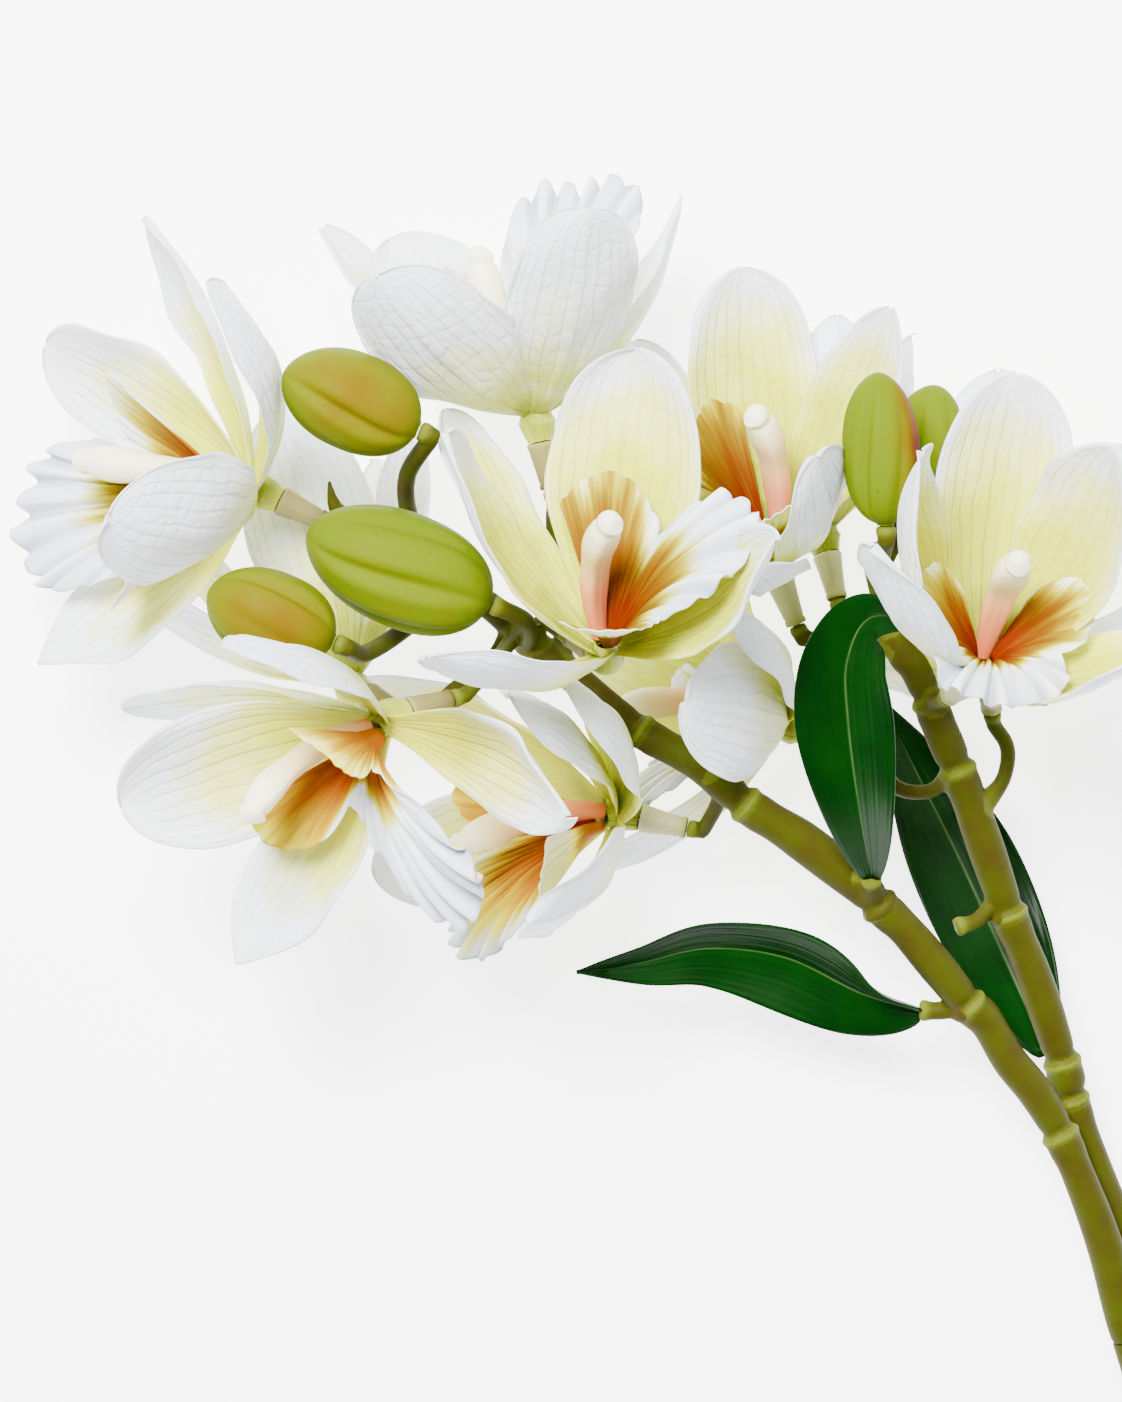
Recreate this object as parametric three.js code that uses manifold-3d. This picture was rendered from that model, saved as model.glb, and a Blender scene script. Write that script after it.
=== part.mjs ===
// A cymbidium orchid stem: two jointed branches on one cut stem, with eleven open
// blooms, five buds and three leaves. It lies on its side on a level surface.
//
// Millimetres. +X and +Y lie in the surface, +Z points up from it. Places are given
// from a point on the surface below the middle of the flowers, and the finished group
// is moved at the end so that its origin is under the middle of the whole stem.

import * as THREE from "three";
import { mergeVertices } from "three/addons/utils/BufferGeometryUtils.js";
import Module from "manifold-3d";

const wasm = await Module();
wasm.setup();

// ---------------------------------------------------------------- driving dimensions

const GAP = 0.3; // clearance between two pieces that touch

const TEPAL = {
  length: 73, // along its centre line
  width: 37,
  thickness: 0.8,
  root: 0.2, // width where it leaves the receptacle, as a share of the full width
  widest: 0.56, // where it is widest, as a share of its length
  shoulder: 1.15, // how slowly it widens from its root
  taper: 2.3, // how late it narrows towards its tip
  petalTip: 0.55, // how pointed its tip is: the lower, the rounder
  sepalTip: 0.72,
  tip: 0.12, // width of the blunt tip, as a share of the full width
  cup: 40, // how far each side edge turns inwards, degrees
  rise: 2.6, // how far from the receptacle's middle its root starts
  rows: [0, 0.3, 0.6, 0.86, 1],
  columns: 4,
};

const LIP = {
  claw: 6.2, // height of its foot above the receptacle's middle
  clawRadius: 2.4,
  throat: 12, // height at which it opens
  throatRadius: 5.2,
  spread: 120, // how far round the column it reaches to each side, degrees
  midWidth: 40, // how far to each side the middle lobe reaches, degrees
  rollWidth: 52, // how far to each side it rolls back, degrees
  sideAt: 96, // where the middle of each side lobe lies, degrees
  sideWidth: 30,
  wallAngle: [40, 26], // how far the side lobes lean out at their foot and rim, degrees
  floorAngle: 28, // how far the middle lobe leans out at its foot, degrees
  offset: 0.9, // how far its foot is set off from the column
  midLobe: 50, // length of the ruffled middle lobe, from the throat
  sideLobe: 31, // length of the two side lobes
  notch: 25, // length at the notch between them
  thickness: 0.8,
  ruffle: 2.6, // height of the ruffles at the rim
  ruffles: 12, // ruffles in a full turn
  rows: [0, 0.36, 0.72, 1],
  columns: 14,
};

const COLUMN = {
  foot: 5.8, // height of its foot above the receptacle's middle
  offset: 2, // how far its foot is set off towards the dorsal sepal
  length: 40,
  lean: [14, -22], // away from the lip at its foot, over it at its tip, degrees
  sides: 8,
  radii: [2.0, 2.9, 3.6, 3.7, 4.5, 3.2],
};

const RECEPTACLE = { back: 4.8, front: 5, radii: [3.4, 4.8, 2.6], sides: 7 };
const SLEEVE = { length: 12, mouth: 3.9, neck: 3.45, neckAt: 10.6, foot: 3.2, sides: 7 };
const STALK_RADIUS = 2.6;
const MAIN_RADIUS = 5;
const STEM_SIDES = 8;
const NODE_SWELL = 0.75; // how far a node ring stands out of its branch
const NODE_RING = [[-0.22, 0], [-0.08, NODE_SWELL], [0.08, NODE_SWELL], [0.22, 0]]; // [along the path, swell]
const LEAF = {
  thickness: 0.9,
  fold: 14, // how far each side rises from its midrib, degrees
  root: 0.12, // width at its foot, as a share of the full width
  tip: 0.06,
  rows: [0, 0.1, 0.28, 0.5, 0.72, 0.9, 1],
  columns: 4,
};
const BUD = {
  foot: 2.2,
  lean: 0.92, // below 1 its fullest part moves towards its foot
  fullness: 0.62, // the lower, the blunter its ends
  ridge: 0.05, // height of its three seams, as a share of its radius
  sides: 9,
  rings: 7,
};

const COLOURS = {
  tepal: 0xf1f3e2,
  lip: 0xf6c77a,
  column: 0xf3d3b8,
  sleeve: 0x9b9478,
  bud: 0x9db522,
  stem: 0x6f7428,
  leaf: 0x0f5a24,
};

// ------------------------------------------------------------------- where things are

// Each bloom: where its receptacle is, which way it faces, which way its dorsal sepal and
// its stalk lie from there. Each tepal is bent its own way: [the way its tip lies], curl
// and turn about its own length in degrees, and its width as a share of the rule.
// The lip is [its size as a share of the rule, how far its middle lobe rolls out in degrees].
const BLOOMS = {
  a: {
    at: [-75, 52.5, 64], facing: [-0.97, 0, 0.2], dorsal: [0, 0.2, 0.98], stalk: [0.9, -0.43, 0],
    tepals: {
      dorsal: [[-8, 45, 45], 75, 25, 0.95],
      petal_l: [[-27, 66, 2], 40, 15, 1],
      petal_r: [[-31, -6, 60], 70, 0, 1.1],
      sepal_l: [[-53, 36, -26], 45, 0, 1.05],
      sepal_r: [[-54, -39, -18], 45, -22, 0.9],
    },
    lip: [1.1, 60],
  },
  b: {
    at: [-6, 70, 66], facing: [-0.05, 0.97, 0.2], dorsal: [-0.75, 0, 0.6], stalk: [0.2, -0.95, -0.1],
    tepals: {
      dorsal: [[-38, 34, 47], 50, 40, 1.05],
      petal_l: [[12, 50, 48], 40, 0, 0.97],
      petal_r: [[-50, 46, -14], 35, 0, 0.8],
      sepal_l: [[34, 56, -26], 45, 5, 0.9],
      sepal_r: [[-36, 44, -36], 45, 0, 1],
    },
    lip: [1.1, 60],
  },
  c: {
    at: [11, 11, 92], facing: [0, 0.7, 0.7], dorsal: [-0.75, 0.45, -0.5], stalk: [-0.5, 0.28, -0.82],
    tepals: {
      dorsal: [[-40, 62, -17], 40, 25, 0.85],
      petal_l: [[-36, 53, 32], 50, -10, 0.8],
      petal_r: [[6.5, 71, 4], 30, 0, 1.12],
      sepal_l: [[-41, 0, 55], 50, 8, 0.95],
      sepal_r: [[37, 25, 56], 50, 0, 0.85],
    },
    lip: [0.66, 104],
  },
  d: {
    at: [54, 35.5, 43], facing: [-0.1, 0.8, 0.6], dorsal: [0.7, 0.2, -0.6], stalk: [0.35, -0.9, -0.1],
    tepals: {
      dorsal: [[24, 54, 26], 45, 10, 0.8],
      petal_l: [[-7, 70, 10], 35, 0, 1],
      petal_r: [[5, 22, 66], 55, 0, 0.85],
      sepal_l: [[-32, 56, -30], 40, 0, 1],
      sepal_r: [[-10, -3, 60], 42, 0, 0.82],
    },
    lip: [0.7, 95],
  },
  e: {
    at: [103.5, 6.5, 80], facing: [0.15, 0.6, 0.77], dorsal: [0, 0.78, -0.62], stalk: [-0.35, -0.3, -0.88],
    tepals: {
      dorsal: [[8, 69, 14], 35, 0, 1],
      petal_l: [[-15, 50, 44], 65, 15, 1.1],
      petal_r: [[27, 50, 38], 55, 0, 1.05],
      sepal_l: [[-36, 22, 52], 40, 10, 0.85],
      sepal_r: [[37, 10, 52], 55, 0, 0.95],
    },
    lip: [0.6, 108],
  },
  f: {
    at: [-42, -4, 92], facing: [-0.62, -0.6, 0.5], dorsal: [-0.73, 0.67, -0.1], stalk: [0.85, 0.25, -0.45],
    tepals: {
      dorsal: [[-63, 2, -30], 35, 0, 0.9],
      petal_l: [[-64, -21, -22], 35, 0, 1.05],
      petal_r: [[-34, 16, 60], 45, 0, 0.8],
      sepal_l: [[-37, -56, -18], 35, 0, 0.9],
      sepal_r: [[42, -21, 50], 50, -25, 0.8],
    },
    lip: [0.85, 105],
  },
  g: {
    at: [15.5, -29, 36], facing: [-0.9, -0.15, 0.4], dorsal: [0.1, 0.85, 0.5], stalk: [0.95, -0.2, 0.1],
    tepals: {
      dorsal: [[-26, 28, 60], 40, 0, 0.9],
      petal_l: [[-62, 31, -5], 35, 0, 0.9],
      petal_r: [[-13, 32, 58], 60, 35, 1],
      sepal_l: [[-57, -14, -30], 40, 0, 0.9],
      sepal_r: [[-22, -22, 62], 50, 0, 0.9],
    },
    lip: [0.7, 60],
  },
  h: {
    at: [59, -6.5, 32], facing: [-0.95, 0.1, 0.1], dorsal: [0, 0.9, 0.4], stalk: [1, 0, -0.05],
    tepals: {
      dorsal: [[-14, 21, 54], 50, 0, 0.85],
      petal_l: [[-27, 40, -22], 45, 0, 0.95],
      petal_r: [[-26, 6, 63], 55, 0, 1],
      sepal_l: [[-45, 22, -23], 45, 0, 0.9],
      sepal_r: [[-34, -26, -24], 40, 0, 0.95],
    },
    lip: [0.6, 60],
  },
  i: {
    at: [-53.5, 3.5, 40], facing: [-0.3, 0.75, -0.35], dorsal: [0, 0.3, 0.9], stalk: [0.78, -0.42, 0.4],
    tepals: {
      dorsal: [[-13, 52, 0], 45, 0, 1],
      petal_l: [[13, 58, -20], 45, 0, 0.9],
      petal_r: [[-46, 22, -16], 50, -25, 1.1],
      sepal_l: [[2, 50, -36], 45, 0, 0.9],
      sepal_r: [[-40, 34, -34], 45, 0, 0.95],
    },
    lip: [0.5, 40],
  },
  j: {
    at: [67.5, 42.5, 29], facing: [0.05, 0.97, -0.2], dorsal: [0, 0.2, 1], stalk: [0.2, -0.93, 0.25],
    size: 0.76,
    tepals: {
      dorsal: [[3, 52, 8], 50, 0, 0.85],
      petal_l: [[20, 48, -4], 50, 0, 0.85],
      petal_r: [[-18, 48, -4], 50, 0, 0.85],
      sepal_l: [[14, 50, -26], 50, 0, 0.85],
      sepal_r: [[-12, 50, -26], 50, 0, 0.85],
    },
    lip: [0.33, 30],
  },
  k: {
    at: [107, 11.5, 56], facing: [0.15, 0.5, -0.8], dorsal: [0, 0.8, 0.5], stalk: [0.15, -0.8, -0.55],
    tepals: {
      dorsal: [[4, 62, -14], 45, 0, 0.9],
      petal_l: [[34, 44, -26], 45, 0, 0.85],
      petal_r: [[-12, 48, -40], 45, 0, 0.85],
      sepal_l: [[38, 9, -46], 45, 0, 0.85],
      sepal_r: [[-30, 2, -50], 45, 0, 0.85],
    },
    lip: [0.5, 45],
  },
};

// Where each kind of tepal stands round the bloom, in degrees from the dorsal one.
const TEPAL_AZIMUTH = { dorsal: 0, petal_r: 65, petal_l: -65, sepal_r: 128, sepal_l: -128 };

const BUDS = [
  { foot: [-35, 66.5, 95], tip: [-68, 80.5, 97], diameter: 24 },
  { foot: [-17.5, 24, 84], tip: [-62.5, 42, 88], diameter: 28 },
  { foot: [-56, 14.5, 92], tip: [-86.5, 27, 95], diameter: 23 },
  { foot: [80, 43.5, 89], tip: [77.5, 80.5, 96], diameter: 19 },
  { foot: [89.5, 55.5, 68], tip: [94, 79, 70], diameter: 17 },
];

const MAIN_HEIGHT = MAIN_RADIUS * Math.cos(Math.PI / STEM_SIDES); // its lowest facet lies on z = 0
const FORK = [159, -200, 5.5];
const MAIN_PATH = [
  [172, -252, MAIN_HEIGHT], [168, -236, MAIN_HEIGHT], [164.5, -221, MAIN_HEIGHT + 0.2], FORK, [156.5, -191, 7],
];
const ARM_FRONT = [FORK, [153, -182, 11], [147.8, -166, 15.5]];
const ARM_BACK = [FORK, [155.5, -182, 6.5], [153, -166, 7.6]];

const FRONT_PATH = [
  [147.7, -165.7, 15.6], [145.7, -159.6, 17.3], [141.5, -142.5, 20], [135.5, -126.5, 23.5],
  [129, -112, 26.5], [122, -100.5, 29], [115.5, -92.5, 31], [109, -82, 34], [104.5, -78, 36],
  [97, -69, 39], [88, -58.5, 43], [81, -52, 46], [76, -47, 48], [60.5, -35, 53],
  [46.5, -26, 57], [35, -16, 59], [20, -7.5, 60], [-0.5, 9, 58], [-18, 24, 58], [-38, 38, 60],
];
const FRONT_NODES = [4, 8, 11, 14, 16]; // which points of the path are nodes
const FRONT_RADII = [
  4.4, 4.3, 4.3, 4.2, 4.2, 4.2, 4.2, 4.3, 4.3, 4.3, 4.3, 4.3, 4.6, 4.9, 4.2, 4, 3.8, 3.6, 3.3, 3,
];

const BACK_PATH = [
  [153, -165.7, 7.6], [151.2, -154.5, 8.4], [146.5, -138.5, 10], [142, -128.5, 12],
  [132.5, -103.5, 18], [130, -93.5, 21], [121.5, -69.5, 29], [115, -54.5, 34], [106, -30, 41],
  [101, -17.5, 45], [96, -6, 48], [93.5, 0, 50], [89.5, 8.5, 52], [86, 13, 53], [80.5, 30.5, 56],
  [78, 39.5, 58],
];
const BACK_NODES = [4, 5, 7, 9, 11];
const BACK_RADII = [4.4, 4.3, 4.2, 4.2, 4.2, 4.2, 4.2, 4.2, 4.4, 4.2, 4.0, 3.9, 3.7, 3.5, 3.2, 3];

// Stalks, each from inside its branch out towards what it carries.
const FRONT_STALKS = {
  a: [[-38, 38, 60], [-48, 43, 62]],
  b: [[1, 8, 58], [-1, 30, 53], [-2, 45, 58]],
  c: [[-6, 14, 58], [-5, 20, 66]],
  f: [[-10.5, 18, 58], [-14, 13, 68], [-18, 8, 79]],
  g: [[38, -18, 59], [40, -25, 48]],
  i: [[-12, 19, 57], [-18, 10, 56], [-27, 3, 54]],
};
const BACK_STALKS = {
  d: [[86, 13, 53], [76, 15, 50], [67, 16, 43]],
  e: [[94, 0, 50], [95, 0, 57]],
  h: [[100.5, -17, 45], [94.5, -23, 40], [86, -22, 34], [82, -14, 31]],
  j: [[84, 18, 54], [76, 20, 48]],
  k: [[108, -26.5, 41], [113, -20, 41], [114, -12, 42]],
};
const FRONT_BUD_STALKS = {
  0: [[-34, 36, 60], [-38, 46, 66], [-38, 56, 82]],
  1: [[-9, 14, 58], [-8, 17, 70], [-9, 20, 79]],
  2: [[-28, 31, 59], [-37, 20, 63], [-48, 12, 79]],
};
const BACK_BUD_STALKS = {
  3: [[79, 36, 58], [80, 36, 70]],
  4: [[80, 34, 57], [84.5, 41, 62]],
};

// Short side shoots: the joints that two leaves sit on, and two stubs.
const LEAF_JOINTS = [
  [[104.5, -78, 36], [98, -79.5, 34.5], [92, -79.5, 34]],
  [[81, -52, 46], [79, -48, 52], [78.3, -44.5, 56]],
];
const STUB = [[112, -50, 35], [107, -56, 37], [101, -58, 38]];

const LEAVES = [
  {
    midrib: [[91.5, -79.5, 34], [77, -75, 31], [58, -66, 31], [38, -63.5, 33], [20.5, -67, 36], [4, -69.5, 38]],
    face: [0.1, -0.75, 0.7], width: 24, shape: 0.9,
  },
  {
    midrib: [[78.2, -44, 56.6], [74, -24.5, 74], [71, -4.5, 84], [70.5, 10, 88], [75.5, 21, 85], [87, 18, 77]],
    face: [-0.15, -0.4, 0.9], width: 26, shape: 0.8,
  },
  {
    midrib: [[126, -91, 16.5], [115, -65, 9], [104.5, -41.5, 6], [94.5, -21, 4], [84, 0.5, 3]],
    face: [0.05, 0.1, 1], width: 31, shape: 0.8,
  },
];

// ------------------------------------------------------------------------ small tools

const RAD = Math.PI / 180;
const vec = (p) => new THREE.Vector3(...p);
const unit = (p) => vec(p).normalize();
const clamp01 = (v) => Math.min(1, Math.max(0, v));

// The part of direction d that is square to axis, at length 1.
function squareTo(axis, d) {
  return d.clone().addScaledVector(axis, -d.dot(axis)).normalize();
}

// A mesh from points and triangles, turned so that its faces point outwards.
function body(points, triangles) {
  const geometry = new THREE.BufferGeometry();
  geometry.setAttribute("position", new THREE.Float32BufferAttribute(points.flatMap((p) => p.toArray()), 3));
  let volume = 0;
  for (const [a, b, c] of triangles) volume += points[a].dot(points[b].clone().cross(points[c]));
  geometry.setIndex(triangles.flatMap(([a, b, c]) => (volume > 0 ? [a, b, c] : [a, c, b])));
  return geometry;
}

// A sheet of even thickness round a grid of points. Both faces are split alike.
// Nothing of it reaches below the surface that the stem lies on.
function sheet(rows, thickness) {
  const half = thickness / 2;
  for (const row of rows) for (const p of row) p.z = Math.max(p.z, half);
  const m = rows.length;
  const n = rows[0].length;
  const upper = [];
  const lower = [];
  for (let i = 0; i < m; i++) {
    for (let j = 0; j < n; j++) {
      const along = rows[Math.min(i + 1, m - 1)][j].clone().sub(rows[Math.max(i - 1, 0)][j]);
      const across = rows[i][Math.min(j + 1, n - 1)].clone().sub(rows[i][Math.max(j - 1, 0)]);
      const normal = along.cross(across).normalize().multiplyScalar(half);
      upper.push(rows[i][j].clone().add(normal));
      lower.push(rows[i][j].clone().sub(normal));
    }
  }
  const count = m * n;
  const triangles = [];
  for (let i = 0; i < m - 1; i++) {
    for (let j = 0; j < n - 1; j++) {
      const a = i * n + j;
      const [b, c, d] = [a + 1, a + n + 1, a + n];
      triangles.push([a, b, c], [a, c, d]);
      triangles.push([a + count, c + count, b + count], [a + count, d + count, c + count]);
    }
  }
  const rim = [];
  for (let j = 0; j < n - 1; j++) rim.push(j);
  for (let i = 0; i < m - 1; i++) rim.push(i * n + n - 1);
  for (let j = n - 1; j > 0; j--) rim.push((m - 1) * n + j);
  for (let i = m - 1; i > 0; i--) rim.push(i * n);
  rim.forEach((a, k) => {
    const b = rim[(k + 1) % rim.length];
    triangles.push([a, b + count, b], [a, a + count, b + count]);
  });
  return body([...upper, ...lower], triangles);
}

// A closed body through a row of rings with equal numbers of points.
function skin(rings) {
  const n = rings[0].length;
  const points = rings.flat();
  const triangles = [];
  for (let i = 0; i < rings.length - 1; i++) {
    for (let j = 0; j < n; j++) {
      const a = i * n + j;
      const b = i * n + ((j + 1) % n);
      triangles.push([a, b, b + n], [a, b + n, a + n]);
    }
  }
  for (const [ring, turn] of [[0, true], [rings.length - 1, false]]) {
    for (let j = 1; j < n - 1; j++) {
      const [a, b, c] = [ring * n, ring * n + j, ring * n + j + 1];
      triangles.push(turn ? [a, c, b] : [a, b, c]);
    }
  }
  return body(points, triangles);
}

// Rings of given radii square to a smooth path. One facet keeps facing down.
function rings(centres, radii, sides, section = () => 1) {
  const last = centres.length - 1;
  return centres.map((centre, i) => {
    const tangent = centres[Math.min(i + 1, last)].clone().sub(centres[Math.max(i - 1, 0)]).normalize();
    const guide = Math.abs(tangent.z) > 0.9 ? new THREE.Vector3(0, 1, 0) : new THREE.Vector3(0, 0, -1);
    const down = squareTo(tangent, guide);
    const side = tangent.clone().cross(down);
    return Array.from({ length: sides }, (_, k) => {
      const angle = ((k + 0.5) * 2 * Math.PI) / sides;
      const r = radii[i] * section(angle);
      return centre.clone()
        .addScaledVector(down, r * Math.cos(angle))
        .addScaledVector(side, r * Math.sin(angle));
    });
  });
}

// A round stem along a smooth path through the points, with a radius at each of them.
function stem(path, radii, nodes = [], steps = 2) {
  const curve = new THREE.CatmullRomCurve3(path.map(vec), false, "catmullrom", 0.5);
  const spans = path.length - 1;
  const centres = [];
  const sizes = [];
  const add = (at, swell) => {
    const u = clamp01(at / spans);
    const i = Math.min(Math.floor(u * spans), spans - 1);
    const f = u * spans - i;
    centres.push(curve.getPoint(u));
    sizes.push(radii[i] * (1 - f) + radii[i + 1] * f + swell);
  };
  for (let i = 0; i <= spans; i++) {
    const isNode = nodes.includes(i);
    if (isNode) for (const [step, swell] of NODE_RING) add(i + step, swell);
    else add(i, 0);
    if (i < spans && !isNode && !nodes.includes(i + 1)) {
      for (let k = 1; k < steps; k++) add(i + k / steps, 0);
    }
  }
  return skin(rings(centres, sizes, STEM_SIDES));
}

// A thin stalk of even radius along a smooth path, with its far end cut square.
function stalk(path, radius = STALK_RADIUS) {
  const points = path.map(vec);
  const end = points.pop();
  const curve = new THREE.CatmullRomCurve3(points, false, "catmullrom", 0.5);
  const centres = [...curve.getPoints(Math.ceil((points.length - 1) * 1.4)), end];
  const radii = centres.map(() => radius);
  return skin(turnedRings(centres, radii, 6));
}

// Rings carried along a path without twisting. The last one is square to its last stretch.
function turnedRings(centres, radii, sides) {
  const last = centres.length - 1;
  let down = null;
  return centres.map((centre, i) => {
    const tangent = centres[Math.min(i + 1, last)].clone().sub(centres[Math.max(i - 1, 0)]).normalize();
    const upright = Math.abs(tangent.z) > 0.9 ? new THREE.Vector3(0, 1, 0) : new THREE.Vector3(0, 0, -1);
    down = squareTo(tangent, down ?? upright);
    const side = tangent.clone().cross(down);
    return Array.from({ length: sides }, (_, k) => {
      const angle = ((k + 0.5) * 2 * Math.PI) / sides;
      return centre.clone()
        .addScaledVector(down, radii[i] * Math.cos(angle))
        .addScaledVector(side, radii[i] * Math.sin(angle));
    });
  });
}

function toManifold(geometry) {
  const bare = geometry.clone();
  bare.deleteAttribute("normal");
  bare.deleteAttribute("uv");
  const merged = mergeVertices(bare, 1e-4);
  return new wasm.Manifold(new wasm.Mesh({
    numProp: 3,
    vertProperties: new Float32Array(merged.getAttribute("position").array),
    triVerts: new Uint32Array(merged.getIndex().array),
  }));
}

// Several closed bodies that grow into each other, made one.
function fuse(geometries) {
  const joined = geometries.map(toManifold).reduce((a, b) => a.add(b));
  const { vertProperties, triVerts } = joined.getMesh();
  const geometry = new THREE.BufferGeometry();
  geometry.setAttribute("position", new THREE.BufferAttribute(new Float32Array(vertProperties), 3));
  geometry.setIndex(new THREE.BufferAttribute(new Uint32Array(triVerts), 1));
  return geometry;
}

// ----------------------------------------------------------------------- bloom pieces

function bloomFrame({ at, facing, dorsal, size = 1 }) {
  const front = unit(facing);
  const up = squareTo(front, unit(dorsal));
  return { middle: vec(at), front, up, side: up.clone().cross(front), size };
}

// Half width of a tepal along its length, as a share of the greatest.
function tepalOutline(s, tipPower) {
  const { root, widest, shoulder, taper, tip } = TEPAL;
  if (s < widest) return root + (1 - root) * Math.sin((Math.PI / 2) * (s / widest)) ** shoulder;
  return Math.max(tip, (1 - ((s - widest) / (1 - widest)) ** taper) ** tipPower);
}

function tepal(frame, kind, [reach, curl, turn, share]) {
  const along = unit(reach);
  const azimuth = TEPAL_AZIMUTH[kind] * RAD;
  const outwards = frame.side.clone().multiplyScalar(Math.sin(azimuth))
    .addScaledVector(frame.up, Math.cos(azimuth));
  const inner = squareTo(along, frame.front.clone().sub(outwards));
  inner.applyAxisAngle(along, turn * RAD);
  const across = inner.clone().cross(along);
  const bend = curl * RAD;
  const length = TEPAL.length * frame.size;
  const cup = TEPAL.cup * RAD;
  const tipPower = kind.startsWith("sepal") ? TEPAL.sepalTip : TEPAL.petalTip;
  const root = frame.front.clone().add(outwards).multiplyScalar(TEPAL.rise).add(frame.middle);
  const rows = TEPAL.rows.map((s) => {
    const angle = bend * (s - 0.5);
    const forward = ((Math.sin(angle) + Math.sin(bend / 2)) / bend) * length;
    const sideways = ((Math.cos(bend / 2) - Math.cos(angle)) / bend) * length;
    const centre = root.clone().addScaledVector(along, forward).addScaledVector(inner, sideways);
    const normal = inner.clone().multiplyScalar(Math.cos(angle)).addScaledVector(along, -Math.sin(angle));
    const half = (TEPAL.width / 2) * frame.size * share * tepalOutline(s, tipPower);
    return Array.from({ length: TEPAL.columns + 1 }, (_, j) => {
      const t = (2 * j) / TEPAL.columns - 1;
      return centre.clone()
        .addScaledVector(across, (half * Math.sin(cup * t)) / cup)
        .addScaledVector(normal, (half * (1 - Math.cos(cup * t))) / cup);
    });
  });
  return sheet(rows, TEPAL.thickness);
}

function tepals(bloom) {
  const frame = bloomFrame(bloom);
  const { middle, front } = frame;
  const back = unit(bloom.stalk);
  const centres = [
    middle.clone().addScaledVector(back, RECEPTACLE.back), middle,
    middle.clone().addScaledVector(front, RECEPTACLE.front),
  ];
  const receptacle = skin(turnedRings(centres, RECEPTACLE.radii, RECEPTACLE.sides));
  const blades = Object.entries(bloom.tepals).map(([kind, bend]) => tepal(frame, kind, bend));
  return fuse([receptacle, ...blades]);
}

// A point of the bloom given from its receptacle: x to the side, y to the dorsal tepal, z out.
function inBloom({ middle, front, up, side }, x, y, z) {
  return middle.clone().addScaledVector(side, x).addScaledVector(up, y).addScaledVector(front, z);
}

// The lip opens from a narrow claw: its middle lobe rolls back, its side lobes stand up.
function lip(bloom) {
  const frame = bloomFrame(bloom);
  const [size, flare] = bloom.lip;
  const steps = 24;
  const columns = Array.from({ length: LIP.columns + 1 }, (_, j) => {
    const turn = ((2 * j) / LIP.columns - 1) * LIP.spread;
    const away = Math.abs(turn);
    const middle = Math.exp(-((away / LIP.midWidth) ** 4));
    const side = Math.exp(-(((away - LIP.sideAt) / LIP.sideWidth) ** 4));
    const reach = size * (LIP.notch + (LIP.midLobe - LIP.notch) * middle + (LIP.sideLobe - LIP.notch) * side);
    const rolled = Math.exp(-((away / LIP.rollWidth) ** 4));
    const first = LIP.wallAngle[0] + (LIP.floorAngle - LIP.wallAngle[0]) * rolled;
    const final = LIP.wallAngle[1] + (flare - LIP.wallAngle[1]) * rolled;
    const x = Math.sin(turn * RAD);
    const y = -Math.cos(turn * RAD);
    const ruffle = LIP.ruffle * Math.cos(LIP.ruffles * turn * RAD) * (0.35 + 0.65 * rolled);
    const points = [inBloom(frame, LIP.clawRadius * x, LIP.clawRadius * y - LIP.offset, LIP.claw)];
    let radial = 0;
    let forward = 0;
    let done = 0;
    for (const r of LIP.rows) {
      const goal = Math.round(r * steps);
      for (; done < goal; done++) {
        const angle = (first + (final - first) * ((done + 0.5) / steps) ** 2) * RAD;
        radial += (reach / steps) * Math.sin(angle);
        forward += (reach / steps) * Math.cos(angle);
      }
      const angle = (first + (final - first) * r ** 2) * RAD;
      const wave = ruffle * r ** 3;
      const out = LIP.throatRadius + radial - wave * Math.cos(angle);
      points.push(inBloom(frame, out * x, out * y - 0.5, LIP.throat + forward + wave * Math.sin(angle)));
    }
    return points;
  });
  return sheet(columns, LIP.thickness);
}

function column(bloom) {
  const frame = bloomFrame(bloom);
  const count = COLUMN.radii.length - 1;
  const centres = [];
  const [first, final] = COLUMN.lean;
  let y = COLUMN.offset;
  let z = COLUMN.foot;
  for (let i = 0; i <= count; i++) {
    centres.push(inBloom(frame, 0, y, z));
    const lean = (first + (final - first) * ((i + 0.5) / count)) * RAD;
    y += (COLUMN.length / count) * Math.sin(lean);
    z += (COLUMN.length / count) * Math.cos(lean);
  }
  return skin(turnedRings(centres, COLUMN.radii, COLUMN.sides));
}

// How far from the receptacle's middle the sleeve starts and the stalk ends.
const SLEEVE_START = RECEPTACLE.back + GAP;
const STALK_END = SLEEVE_START + SLEEVE.length + GAP;

function sleeve(bloom) {
  const profile = [
    [0, 0], [SLEEVE.mouth, 0], [SLEEVE.neck, SLEEVE.neckAt], [SLEEVE.foot, SLEEVE.length], [0, SLEEVE.length],
  ];
  const geometry = new THREE.LatheGeometry(profile.map(([r, h]) => new THREE.Vector2(r, h)), SLEEVE.sides);
  const direction = unit(bloom.stalk);
  geometry.applyQuaternion(new THREE.Quaternion().setFromUnitVectors(vec([0, 1, 0]), direction));
  const start = vec(bloom.at).addScaledVector(direction, SLEEVE_START);
  return mergeVertices(stripped(geometry.translate(start.x, start.y, start.z)), 1e-4);
}

function stripped(geometry) {
  geometry.deleteAttribute("normal");
  geometry.deleteAttribute("uv");
  return geometry;
}

// -------------------------------------------------------------------- buds and leaves

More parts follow.
